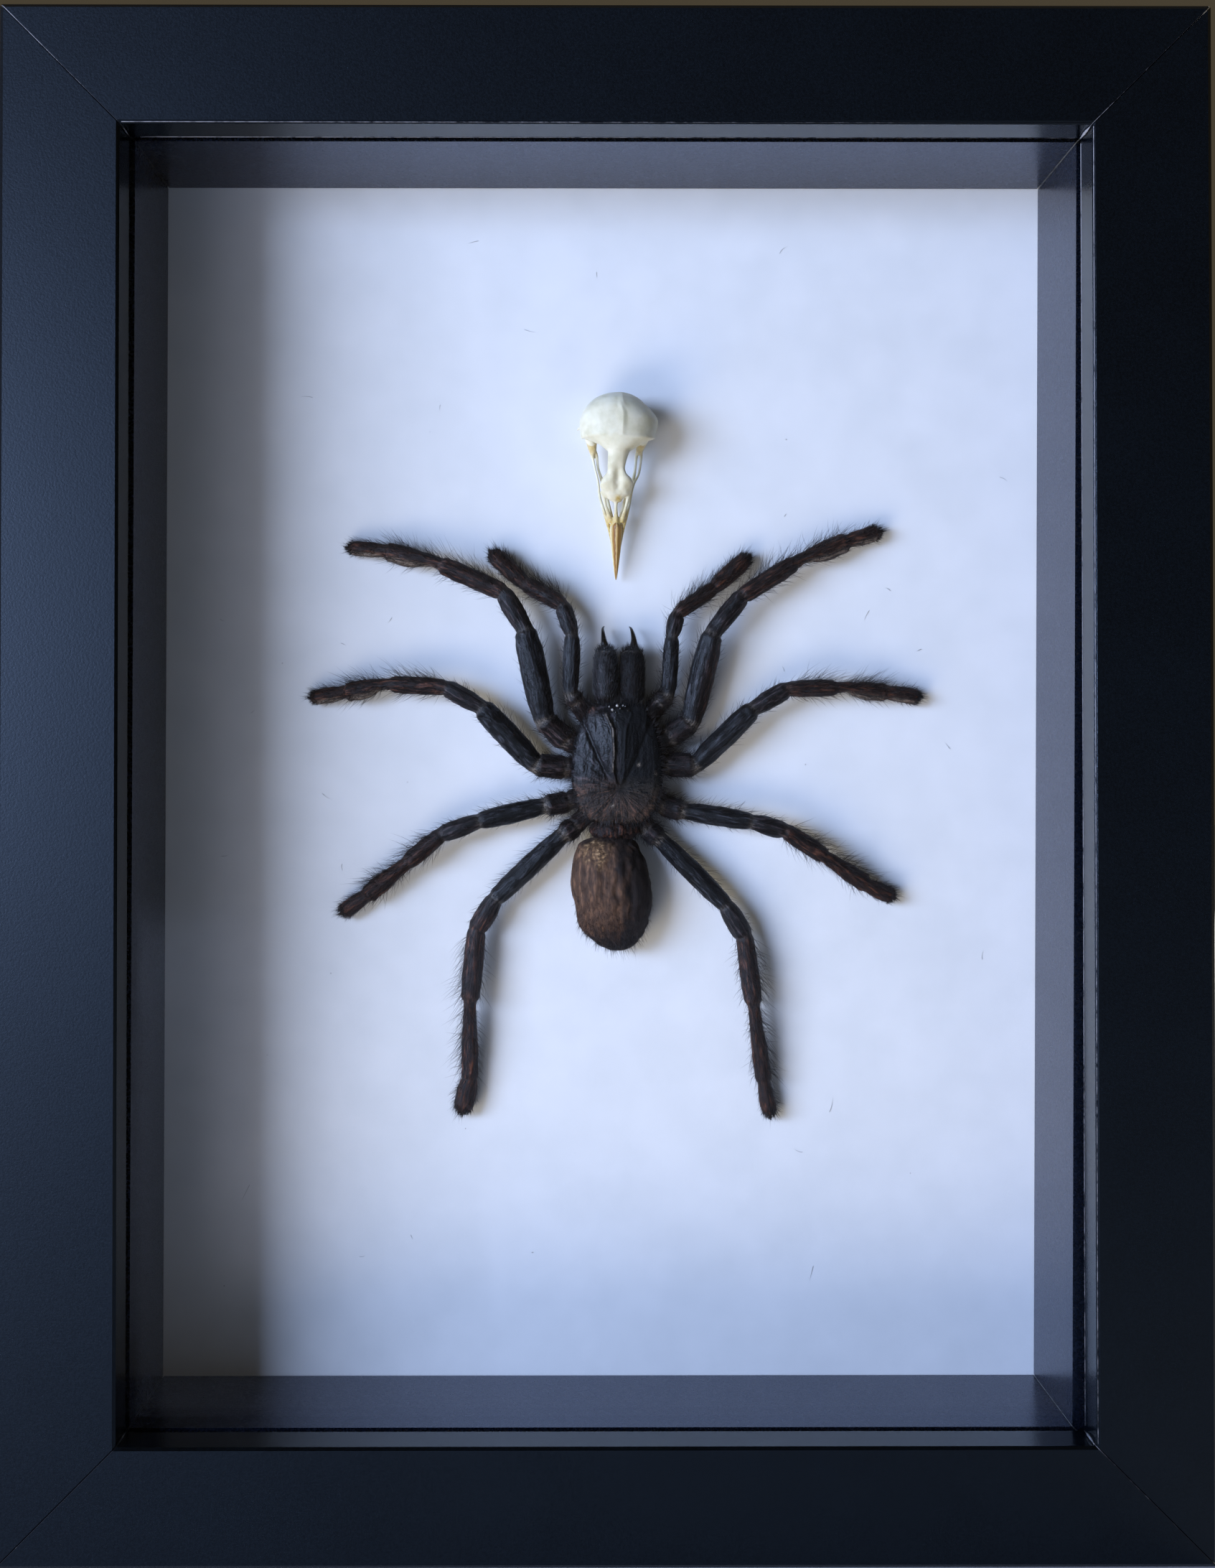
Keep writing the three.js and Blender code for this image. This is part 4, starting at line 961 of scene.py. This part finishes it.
def add_carapace():
    """The carapace with the breastplate under it."""
    outline = CARAPACE_HALF + [(-x, up) for x, up in CARAPACE_HALF[-2:0:-1]]
    outline = smooth_rows(outline + outline[:1], 241)[:-1]
    shares = np.append(1, 1 - np.linspace(0.012, 0.985, 84))
    outs = np.interp(shares, *np.transpose(CARAPACE_TOP))
    outs = np.append(outs[:1], softened(outs[1:, None], 3)[:, 0])
    levels = [*PROSOMA_UNDERSIDE, *zip(shares, outs)]
    share, out = (np.array(column)[:, None] for column in zip(*levels))
    across = CARAPACE_MIDDLE + outline[:, 0] * share
    up = 1.5 + (outline[:, 1] - 1.5) * share
    top = (np.arange(len(share)) >= len(PROSOMA_UNDERSIDE))[:, None] * np.clip((1 - share) / 0.06, 0, 1)
    spots = np.stack([across, np.zeros_like(across), up], -1)
    rough = 0.09 * lumps(spots * [1, 1, 0.4], 0.8, 3) + 0.05 * lumps(spots, 0.3, 2)
    height = out + top * (carapace_relief(across, up) + rough) + 0.08 * hump(share - 0.97, 0.02)
    rings = on_card(SPIDER, np.stack([across, up, height], -1))
    from_pit = np.hypot(across - FOVEA[0], up - FOVEA[1])
    around = np.abs(np.arctan2(across - FOVEA[0], up - FOVEA[1]))
    radial = np.stack([5.0 * around, 0.3 * height, from_pit - 80.0], -1)  # its wrinkles run out from the pit
    rear = np.clip((-0.5 - up) / 3, 0, 1)
    brown = 0.12 + 0.75 * rear + 0.7 * hump(np.hypot(across + 5.6, up - 11.9), 1.3)
    # The pale line along the left crest is a painted highlight, the crest's sheen where it faces the light.
    pale = 0.12 * rear + 0.6 * hump(from_path(across, up, CRESTS[0]), 0.2) * (up > 0)
    for spot in [(3.7, 1.35), (6.9, -0.3), (-1.3, -6.4)]:
        pale = pale + 1.2 * hump(np.hypot(across - spot[0], up - spot[1]), 0.3)
    # Painted shade: the right half of the carapace, turned from the light, goes near black; it is also
    # darker towards the rear.
    black = 0.97 * np.clip((across + 0.7) / 1.2, 0, 1) * np.clip((up + 6) / 4, 0, 1) + 0.3 * rear
    values = {
        "limb_place": for_points(radial), "brown": for_points(np.clip(brown, 0, 1)),
        "pale": for_points(np.clip(pale * (top > 0), 0, 1)), "black": for_points(black),
    }
    carapace = add_piece("carapace", skin_over(rings), CUTICLE, ["carapace"], values)
    eyes = []
    for x, z, radius in EYES:
        level = np.interp(math.hypot(x, z - 1.5) / 11.7, *np.transpose(CARAPACE_TOP))
        level += float(carapace_relief(np.array([x]), np.array([z]))[0])
        eyes.append(bead(on_card(SPIDER, (x, z, level + 0.12)), radius))
    add_piece("dark_eyes", together(eyes[:2] + eyes[6:]), EYE)
    # Four eyes are pale: pearly lenses, and painted glints.
    add_piece("pearly_eyes_and_glints", together(eyes[2:6]), PEARL_AND_GLINT)
    outward_lean = np.concatenate([spots.reshape(-1, 3), np.zeros((2, 3))])
    lit_side = np.clip((0.2 - across) / 1.5, 0.12, 1)
    weight = for_points((0.1 + rear + 0.6 * hump(share - 0.93, 0.08)) * lit_side * (top > 0))
    down = unit(outward_lean + [0.01, 0, 0])
    reach = for_points(0.55 + 0.5 * rear + 0.6 * hump(share - 0.95, 0.05))
    lay = grow(carapace, 1700, weight, 0.7 * reach, down, 2.4, 0.045, 2, 0.4)
    fringe = for_points(hump(share - 0.97, 0.03) * np.ones_like(across))
    rim = grow(carapace, 900, fringe, 1.7, down, 1.4, 0.07, 3, 0.5)
    add_piece("carapace_fur", lay, GREY_FUR)
    add_piece("carapace_fringe", rim, DARK_HAIR)


def add_waist():
    """The stalk between the carapace and the abdomen, lost in a dark mat of hair."""
    points, faces = bead(np.zeros(3), 1.0, 40, 56)
    points = points * [4.6, 2.6, 2.3]
    points = points * (1 + 0.12 * lumps(points, 1.3, 3))[:, None] + on_card(SPIDER, (-0.9, -11.2, 4.3))
    spots = points - points.mean(0) + [0, 0, 40.0]
    full = np.ones(len(points))
    values = {"limb_place": spots, "brown": 0.9 * full}
    waist = add_piece("waist", (points, faces), CUTICLE, (), values)
    mat = grow(waist, 1100, full, 1.3, -UP, 0.5, 0.06, 3, 0.8, 0.4)
    add_piece("waist_fur", mat, DARK_HAIR)


# Slices of the abdomen from the waist back: up, left edge, right edge, top.
ABDOMEN_SLICES = [
    (-12.3, -3.4, 0.4, 5.4), (-12.8, -5.6, 2.4, 6.6), (-13.9, -7.7, 3.8, 8), (-16.2, -8.5, 4.9, 9.2),
    (-19.2, -9.1, 5.8, 9.9), (-22.2, -9, 6.3, 10.1), (-25.4, -8.3, 6.3, 9.7), (-28.3, -7.9, 5.8, 8.8),
    (-30.6, -6.9, 5, 7.6), (-32.4, -5.1, 4, 6.2), (-33.7, -3.1, 2.6, 4.9), (-34.3, -1.6, 1.1, 3.8),
]
ABDOMEN_SIDES, ABDOMEN_RINGS = 120, 150


def add_abdomen():
    """The abdomen: a shrunken oval bag with lengthwise folds, a tan patch, dark blotches, and painted shade
    in a fold and down its right side.
    """
    ends = (0, len(ABDOMEN_SLICES) - 1)
    slices = [(*row, 0.5 + 1.6 * (i in ends)) for i, row in enumerate(ABDOMEN_SLICES)]
    up, left, right, top, bottom = smooth_rows(slices, ABDOMEN_RINGS).T
    centres = on_card(SPIDER, np.stack([(left + right) / 2, up, (top + bottom) / 2], -1))
    angle = np.arange(ABDOMEN_SIDES) * TURN / ABDOMEN_SIDES
    half_width, half_height = ((right - left) / 2)[:, None], ((top - bottom) / 2)[:, None]
    headings = np.broadcast_to(-UP, centres.shape)
    rings = oval_rings(centres, headings, half_width * np.ones_like(angle), half_height, ABDOMEN_SIDES)
    folds = 0.24 * lumps(rings * [1, 1, 0.35], 2.0, 3) + 0.09 * lumps(rings * [1, 1, 0.3], 0.45, 3)
    pits = np.clip(np.abs(lumps(rings * [1, 1, 0.25], 2.4, 2)), 0, 0.3) - 0.3
    ring = np.arange(ABDOMEN_RINGS)
    taper = np.clip(np.minimum(ring, ring[::-1]) / 12, 0, 1)[:, None]
    away = unit(rings - centres[:, None])
    rings = rings + away * ((folds + 0.9 * pits) * taper)[..., None]
    x, z = rings[..., 0] - SPIDER[0], rings[..., 2] - SPIDER[1]
    wander = 1.2 * lumps(rings, 2.2, 3)
    facing = rings[..., 1] < centres[:, 1, None] + 1
    patch = np.clip(1.35 - np.hypot((x + 4.1) / 2.5, (z + 15.5) / 2.3) + wander * 0.7, 0, 1) * facing
    # Painted shade: a dark stripe down the middle of the front half, for the shade in a fold.
    band = hump((x - 0.2 + 0.5 * wander) / 0.9, 1)
    band = band * np.clip((z + 22) / 3, 0, 1) * np.clip((-13 - z) / 1.5, 0, 1)
    # Darker towards the right, partly painted shade on the side turned from the light; darker at the rear
    # and at the front end by the waist, with blotches at random.
    dark = band + np.clip((x + 0.2) / 2.6 + wander * 0.7, 0, 1)
    dark = dark + np.clip((-28.5 - z) / 4 + 0.4 * wander, 0, 1)
    dark = dark + 0.55 * np.clip(wander * 1.5 - 0.25, 0, 1)
    dark = dark + 0.8 * np.clip((z + 14.3) / 1.2, 0, 1)
    values = {"tan": for_points(np.clip(patch * 1.3, 0, 1)), "dark": for_points(np.clip(dark, 0, 1))}
    abdomen = add_piece("abdomen", skin_over(rings), abdomen_skin(), ["abdomen"], values)
    rear = np.clip((-22 - z) / 10, 0, 1)
    towards = unit(np.array([0.15, -0.2, -1.0]))
    weight = (0.35 + 1.2 * rear) * (1 - 0.9 * patch) * (rings[..., 1] < 8)
    dark = np.clip(dark, 0, 1)
    reach = for_points(0.4 + 0.25 * rear)
    # Black hairs grow where it is darker, painted shade included, and brown ones elsewhere.
    fine = grow(abdomen, 1700, for_points(weight * (1 - dark)), reach, towards, 2.0, 0.045, 2, 0.4)
    black = grow(abdomen, 1900, for_points(weight * dark), reach, towards, 2.0, 0.045, 2, 0.4)
    long = grow(abdomen, 420, for_points(weight**2), for_points(0.9 + rear), towards, 1.0, 0.05, 4, 0.5)
    add_piece("abdomen_fur", fine, BROWN_FUR)
    add_piece("abdomen_setae", together([long, black]), DARK_HAIR)


CHELICERAE = {"left": -2.5, "right": 2.62}
CHELICERA_FROM, CHELICERA_TO, CHELICERA_WIDE, CHELICERA_HIGH = 13.7, 23.6, 4.8, 6.2
CHELICERA_FORM = [
    (-0.12, 0.5), (-0.03, 0.55), (0, 0.84), (0.12, 0.96), (0.35, 1), (0.65, 1), (0.84, 0.93), (0.95, 0.78),
    (1, 0.5),
]
FANGS = {
    "left": [(-2.6, 23.9, 4.2), (-2.8, 25.2, 4.1), (-2.95, 26.6, 3.5), (-3.0, 27.6, 2.8), (-2.7, 28.1, 2.4)],
    "right": [(2.95, 23.9, 4.2), (2.95, 25.2, 4.1), (2.75, 26.6, 3.5), (2.45, 27.6, 2.8), (2.1, 28.0, 2.4)],
}


def add_jaw(side):
    """A chelicera, streaked with lying hairs, and its fang with a ring of bristles round the root."""
    along = np.append(np.linspace(-0.12, 0.9, 50), 1 - 0.1 * (1 - np.linspace(0.08, 1, 18)) ** 2)
    share = np.interp(along, *np.transpose(CHELICERA_FORM))
    share = softened(share[:, None], 1.5)
    share[-16:, 0] *= np.sqrt(np.clip(1 - ((along[-16:] - 0.905) / 0.1) ** 2 * 0.55, 0, 1))
    up = CHELICERA_FROM + (CHELICERA_TO - CHELICERA_FROM) * along
    centres = on_card(SPIDER, np.stack([np.full_like(up, CHELICERAE[side]), up, 4.6 - 0.4 * along], -1))
    sides = 44
    angle = np.arange(sides) * TURN / sides
    wide, high = CHELICERA_WIDE / 2 * share * np.ones(sides), CHELICERA_HIGH / 2 * share
    rings = oval_rings(centres, np.broadcast_to(UP, centres.shape), wide, high, sides)
    away = unit(rings - centres[:, None])
    rings = rings + away * (0.07 * lumps(rings * [1, 1, 0.15], 0.45, 3))[..., None]
    tip = np.clip((along - 0.9) / 0.06, 0, 1)[:, None] * np.ones(sides)
    spots = rings - rings.mean((0, 1)) + [0, 0, 60.0]
    # Painted shade: the right jaw, turned from the light, goes much darker; both tips darken too.
    black = np.clip(0.75 * (side == "right") + 0.7 * tip, 0, 1)
    values = {
        "limb_place": for_points(spots), "brown": for_points(0.2 + 0 * tip),
        "pale": for_points(0.8 * tip * (tip < 0.9)), "black": for_points(black),
    }
    name = f"chelicera_{side}"
    jaw = add_piece(name, skin_over(rings), CUTICLE, [name], values)
    fang = f"fang_{side}"
    add_piece(fang, rod(FANGS[side], [1.7, 1.15, 0.78, 0.48, 0.14], 14, 40, SPIDER), CLAW, [fang])
    lit = np.clip(np.sin(angle) + 0.3, 0, 1) * (1 - 0.9 * tip)
    streaks = grow(jaw, 1300, for_points(lit), 1.1, UP, 2.6, 0.055, 3, 0.22, 0.1)
    # The left jaw's lying hairs are grey and the right one's dark: painted shade on the side turned from the
    # light.
    add_piece(f"{name}_fur", streaks, GREY_FUR if side == "left" else DARK_HAIR)
    rim = for_points(tip * (0.4 + np.abs(np.cos(angle))))
    bristles = grow(jaw, 240, rim, 1.1, UP, 0.9, 0.07, 3, 0.5)
    add_piece(f"{name}_setae", bristles, DARK_HAIR)


# ---- Bird skull ----

# The braincase and the bridge between the eyes: up, left edge, right edge.
SKULL_EDGES = [
    (4.0, -0.7, 0.5), (3.7, -2.4, 1.9), (3.2, -3.8, 3.1), (2.5, -5.0, 4.2), (1.6, -5.95, 5.1),
    (0.5, -6.8, 6.2), (-1.1, -7.4, 7.4), (-2.6, -7.5, 7.4), (-4.4, -7.3, 7.0), (-4.9, -7.1, 6.95),
    (-5.3, -6.2, 6.7), (-5.7, -5.4, 5.8), (-6.4, -3.9, 4.4), (-7.0, -2.9, 3.1), (-7.5, -2.2, 2.15),
    (-8.2, -2.1, 1.8), (-10.2, -2.2, 1.2), (-11.5, -2.3, 1.3), (-12.4, -2.9, 2.0), (-13.2, -3.4, 2.6),
    (-13.8, -3.65, 2.6), (-14.8, -3.2, 2.4), (-15.6, -2.7, 1.7), (-16.2, -2.1, 0.9), (-16.8, -1.2, 0.4),
]
# Its height over the card and half its thickness: up, out, half height.
SKULL_HEIGHTS = [
    (-16.8, 5.2, 0.8), (-16.2, 5.4, 1.3), (-14.8, 6, 1.6), (-13.4, 6.9, 1.5), (-12, 7.6, 1.2),
    (-9.8, 8.3, 1.1), (-8, 8.5, 1.7), (-6.8, 8.1, 2.9), (-5.8, 7.2, 4.2), (-5.1, 6.7, 5), (-3.2, 6.3, 5.6),
    (-1.2, 6.2, 5.7), (0.8, 6.2, 5.4), (2.4, 6.2, 4.5), (3.5, 6.2, 2.8), (4.0, 6.2, 0.6),
]
# Thin bones: places as across, up and out, and widths.
THIN_BONES = [
    ([(-5.4, -4.4, 5.2), (-5.1, -5.8, 4.2), (-4.95, -7.0, 3.4)], [2.3, 1.9, 1.3]),  # left quadrate
    ([(4.9, -4.4, 5.2), (4.3, -5.9, 4.2), (3.95, -7.0, 3.4)], [2.1, 1.7, 1.2]),  # right quadrate
    ([(-5.05, -6.9, 3.4), (-4.9, -8.2, 3.3), (-4.5, -10.1, 3.3), (-3.9, -12.7, 3.4), (-3.6, -15.5, 3.5),
      (-2.75, -18.5, 3.7), (-1.75, -22.0, 3.6), (-1.2, -25.0, 3.2), (-0.95, -27.4, 2.8)],
     [1.0, 0.6, 0.48, 0.5, 0.55, 0.65, 0.6, 0.45, 0.2]),  # left cheek bar
    ([(4.2, -6.9, 3.4), (4.4, -7.9, 3.3), (3.95, -11.0, 3.3), (3.0, -13.0, 3.4), (2.4, -15.3, 3.5),
      (1.85, -18.1, 3.7), (0.95, -21.6, 3.6), (0.35, -25.0, 3.2), (0.1, -27.4, 2.8)],
     [1.0, 0.55, 0.48, 0.5, 0.55, 0.65, 0.6, 0.45, 0.2]),  # right cheek bar
    ([(-4.6, -6.7, 3.2), (-4.2, -7.6, 3.0), (-3.9, -9.9, 2.6), (-3.2, -12.2, 2.6), (-2.4, -15.2, 2.7),
      (-1.3, -20.0, 3.2)], [0.9, 0.65, 0.55, 0.7, 0.8, 1.0]),  # left palate bar
    ([(3.9, -6.7, 3.2), (3.5, -7.6, 3.0), (3.3, -9.6, 2.6), (2.9, -12.0, 2.6), (1.6, -15.2, 2.7),
      (0.5, -20.0, 3.2)], [0.9, 0.65, 0.55, 0.7, 0.8, 1.0]),  # right palate bar
    ([(-3.1, -14.7, 5.5), (-2.75, -16.3, 5.2), (-2.35, -17.9, 4.8), (-1.35, -20.5, 4.1)],
     [1.1, 0.75, 0.65, 1.1]),  # left bar beside the nostril
    ([(2.0, -14.7, 5.5), (1.7, -16.3, 5.2), (1.35, -17.9, 4.8), (0.55, -20.5, 4.1)],
     [1.1, 0.7, 0.65, 1.1]),  # right bar beside the nostril
    ([(-0.5, -15.9, 5.5), (-0.52, -18.0, 5.1), (-0.45, -20.6, 4.4)], [0.95, 0.62, 1.1]),  # middle bar
    ([(-0.45, -19.6, 3.9), (-0.45, -21.2, 3.85)], [1.9, 2.1]),  # root of the bill
    ([(-7.1, -2.7, 6.4), (-7.75, -3.0, 6.3), (-8.05, -3.5, 6.2)], [0.8, 0.4, 0.15]),  # a torn left edge
]
SKULL_VOXEL = 0.15  # the bone is wrapped at this size, then relaxed


def wrapped(shape, voxel, relax):
    """One closed skin round shapes that run into each other."""
    points, faces = shape
    mesh = bpy.data.meshes.new("loose_bones")
    mesh.from_pydata((points * MM).tolist(), [], faces.tolist())
    loose = bpy.data.objects.new("loose_bones", mesh)
    bpy.context.scene.collection.objects.link(loose)
    wrap = loose.modifiers.new("wrap", "REMESH")
    wrap.mode, wrap.voxel_size = "VOXEL", voxel * MM
    ease = loose.modifiers.new("ease", "SMOOTH")
    ease.factor, ease.iterations = 0.5, relax
    made = loose.evaluated_get(bpy.context.evaluated_depsgraph_get()).to_mesh()
    made.calc_loop_triangles()
    points = np.zeros(len(made.vertices) * 3)
    faces = np.zeros(len(made.loop_triangles) * 3, np.int32)
    made.vertices.foreach_get("co", points)
    made.loop_triangles.foreach_get("vertices", faces)
    bpy.data.objects.remove(loose)
    return points.reshape(-1, 3) / MM, faces.reshape(-1, 3)


def add_skull():
    """The bird's skull: braincase, bridge and thin bars, wrapped as one bone."""
    rows = smooth_rows(SKULL_EDGES, 130)
    up, left, right = rows.T
    at, *heights = zip(*SKULL_HEIGHTS)
    out, half_height = softened(np.stack([np.interp(up, at, height) for height in heights], -1), 3).T
    centres = on_card(SKULL, np.stack([(left + right) / 2, up, out], -1))
    half_width = ((right - left) / 2)[:, None]
    sides = 64
    angle = np.arange(sides) * TURN / sides
    headings = np.broadcast_to(-UP, centres.shape)
    # Behind the eyes the brow overhangs as a thin arch: there the underside follows the top.
    arch = np.interp(up, [-7.4, -6.6, -5.1, -4.2], [-1, 0.6, 0.72, -1])[:, None]
    lower = np.where(np.sin(angle) < 0, -arch, 1.0)
    rings = oval_rings(centres, headings, half_width * np.ones(sides), half_height[:, None] * lower, sides)
    x, z = rings[..., 0] - SKULL[0], rings[..., 2] - SKULL[1]
    top = np.clip(np.sin(angle), 0, 1)
    rough = 0.16 * lumps(rings, 1.1, 3) * np.clip((-10 - z) / 2, 0.15, 1)
    rings = rings + unit(rings - centres[:, None]) * rough[..., None]
    dent = 0.8 * hump(x + 0.2, 0.8) * hump((z + 12.8) / 2.4, 1) * top  # the hollow before the eyes
    ridge = 0.25 * hump(x - 0.5, 0.5) * np.clip((z + 7) / 4, 0, 1) * top
    brow = 0.45 * hump((z + 12.6) / 0.7, 1) * hump(np.abs(x + 0.5) - 2.6, 0.8)
    away = unit(rings - centres[:, None])
    rings = rings + OUT * (ridge - dent)[..., None] + away * brow[..., None] * 0.4
    bones = [skin_over(rings)]
    bones += [rod(places, widths, 16, 40) for places, widths in THIN_BONES]
    points, faces = wrapped(together(bones), SKULL_VOXEL * (1), 3)
    x, z = points[:, 0] - SKULL[0], points[:, 2] - SKULL[1]
    oily = 0.8 * hump(np.hypot(np.abs(x + 0.5) - 4.6, z + 6.3), 1.4) * (points[:, 1] > CARD_FRONT - 5.2)
    oily = oily + 0.85 * np.clip((-17.5 - z) / 3, 0, 1) + hump(np.hypot(x + 0.1, z + 16.3), 0.6)
    oily = oily + 0.1 * np.clip((-7 - z) / 6, 0, 1)
    add_piece("bird_skull", (points, faces), BONE, ["bird_skull"], {"oily": np.clip(oily, 0, 1)})


BEAK_LINE = -0.45
SHEATH_SLICES = [
    (-20.4, 0.3, 4.1, 0.4), (-20.8, 0.75, 4.05, 0.85), (-21.4, 1.08, 3.95, 1.1), (-22, 1.2, 3.82, 1.12),
    (-23.2, 1.13, 3.6, 1.04), (-25.6, 0.92, 3.2, 0.85), (-28.2, 0.6, 2.7, 0.6), (-30.2, 0.33, 2.2, 0.36),
    (-31.1, 0.16, 1.95, 0.18), (-31.4, 0.06, 1.9, 0.06),
]


def add_sheath():
    """The horn sheath of the bill, keeled along its top, with a groove on each side."""
    up, half_width, out, half_height = smooth_rows(SHEATH_SLICES, 90).T
    centres = on_card(SKULL, np.stack([np.full_like(up, BEAK_LINE), up, out], -1))
    sides = 40
    angle = np.arange(sides) * TURN / sides
    keel = 1 + 0.12 * hump(angle_between(angle, math.pi / 2), 0.35)
    grooves = 1 - 0.1 * sum(hump(angle_between(angle, math.pi / 2 + turn), 0.2) for turn in (-0.75, 0.75))
    headings = np.broadcast_to(-UP, centres.shape)
    form = half_height[:, None] * (keel * grooves)
    rings = oval_rings(centres, headings, half_width[:, None] * grooves, form, sides)
    # Seen from the front the right edge of the bill is nought and the left edge one, through its ridge.
    round_bill = np.clip(angle_between(angle, 0) / math.pi, 0, 1)
    across = np.broadcast_to(np.where(angle > math.pi, 0.0, round_bill), form.shape)
    values = {"round_bill": for_points(1 - across)}
    add_piece("bill_sheath", skin_over(rings), bill_horn(), ["bill_sheath"], values)


# ---- Loose dust ----

SHED_HAIRS, CRUMBS = 36, 16


def add_dust():
    """Shed hairs and crumbs that have settled on the card."""
    across, up = RANDOM.uniform(-78, 78, SHED_HAIRS), RANDOM.uniform(30, 242, SHED_HAIRS)
    roots = np.stack([across, np.full(SHED_HAIRS, CARD_FRONT - CARD_CLEARANCE), up], -1)
    headings = unit(RANDOM.normal(size=(SHED_HAIRS, 3)) * [1, 0, 1])
    bend = RANDOM.normal(0, 0.4, (SHED_HAIRS, 3)) * [1, 0, 1]
    reach = RANDOM.uniform(0.8, 2.6, SHED_HAIRS)
    add_piece("shed_hairs", strands(roots, headings, reach, 0.06, bend, 4), DARK_HAIR)
    across, up = RANDOM.uniform(-80, 80, CRUMBS), RANDOM.uniform(25, 245, CRUMBS)
    crumbs = [
        bead(np.array([x, CARD_FRONT - radius, z]), radius, 5, 7)
        for x, z, radius in zip(across, up, RANDOM.uniform(0.04, 0.09, CRUMBS))
    ]
    add_piece("card_crumbs", together(crumbs), BROWN_FUR)


# ---- Light and camera ----

FLOOR_HALF = 3.0  # in metres, as are the places of lamps and lens
AIM = Vector((0.0, 0.0, FRAME_MIDDLE * MM))
LAMP_DISTANCE = 1.2
LENS_PLACE = (-0.00637, -0.3155, 0.14106)


def add_lamp(name, direction, size, energy, colour):
    """A soft rectangular lamp in a direction from the middle of the card, facing it."""
    lamp = bpy.data.lights.new(name, "AREA")
    lamp.shape, lamp.size, lamp.size_y = "RECTANGLE", *size
    lamp.energy, lamp.color = energy, srgb(colour)[:3]
    holder = bpy.data.objects.new(name, lamp)
    holder.location = AIM + Vector(direction).normalized() * LAMP_DISTANCE
    holder.rotation_euler = (AIM - holder.location).to_track_quat("-Z", "Y").to_euler()
    bpy.context.scene.collection.objects.link(holder)
    return holder


def add_lights():
    """A broad cool window on the left, two lamps low on the left, one of them warm, and one for the back."""
    add_lamp("cool_window", (-0.74, -0.67, 0.12), (0.74, 0.4), 23.0, "#bccdfb")
    warm = add_lamp("warm_lamp", (-0.58, -0.52, -0.6), (0.6, 0.6), 7.2, "#ffe2ab")
    low = add_lamp("low_lamp", (-0.4, -0.68, -0.58), (0.6, 0.6), 4.6, "#e6e0f4")
    warm.visible_glossy = low.visible_glossy = False  # they only soften the shadows
    add_lamp("back_lamp", (0.35, 0.85, 0.35), (0.8, 0.8), 9.0, "#f4efe8")
    world = bpy.data.worlds.new("dim_room")
    world.use_nodes = True
    back = world.node_tree.nodes["Background"]
    back.inputs["Color"].default_value = srgb("#f2dcb4")
    back.inputs["Strength"].default_value = 0.07
    bpy.context.scene.world = world


def add_floor():
    """The floor under the frame's foot."""
    far = FLOOR_HALF
    mesh = bpy.data.meshes.new("floor")
    corners = [(-far, -far, 0.0), (far, -far, 0.0), (far, far, 0.0), (-far, far, 0.0)]
    mesh.from_pydata(corners, [], [(0, 1, 2, 3)])
    mesh.materials.append(plain_floor())
    floor = bpy.data.objects.new("floor", mesh)
    floor.visible_shadow = False  # the lower lamp shines up from beneath it, as if the frame hung on a wall
    bpy.context.scene.collection.objects.link(floor)


def add_camera():
    """The lens is level with the spider's body, a little left of the middle, as it is seen on a wall."""
    lens = bpy.data.cameras.new("camera")
    lens.sensor_fit, lens.sensor_height = "VERTICAL", 24
    lens.lens = 25.82
    lens.shift_x, lens.shift_y = 0.0202, -0.0318
    lens.clip_start = 0.01
    camera = bpy.data.objects.new("camera", lens)
    turn = Matrix.Rotation(math.radians(-0.206), 4, "Z")
    tilt = Matrix.Rotation(math.radians(90 + 0.649), 4, "X")
    camera.matrix_world = Matrix.Translation(LENS_PLACE) @ turn @ tilt
    bpy.context.scene.collection.objects.link(camera)
    bpy.context.scene.camera = camera
    bpy.context.scene.view_settings.view_transform = "Standard"


finish_cad()
add_mitre_joints()
add_spacer_joints()
add_torn_and_highlight_places()
for place, (limb, (joints, widths)) in enumerate(LIMBS.items()):
    add_limb(limb, joints, widths, place)
add_carapace()
add_waist()
add_abdomen()
add_jaw("left")
add_jaw("right")
add_skull()
add_sheath()
add_dust()
add_lights()
add_floor()
add_camera()
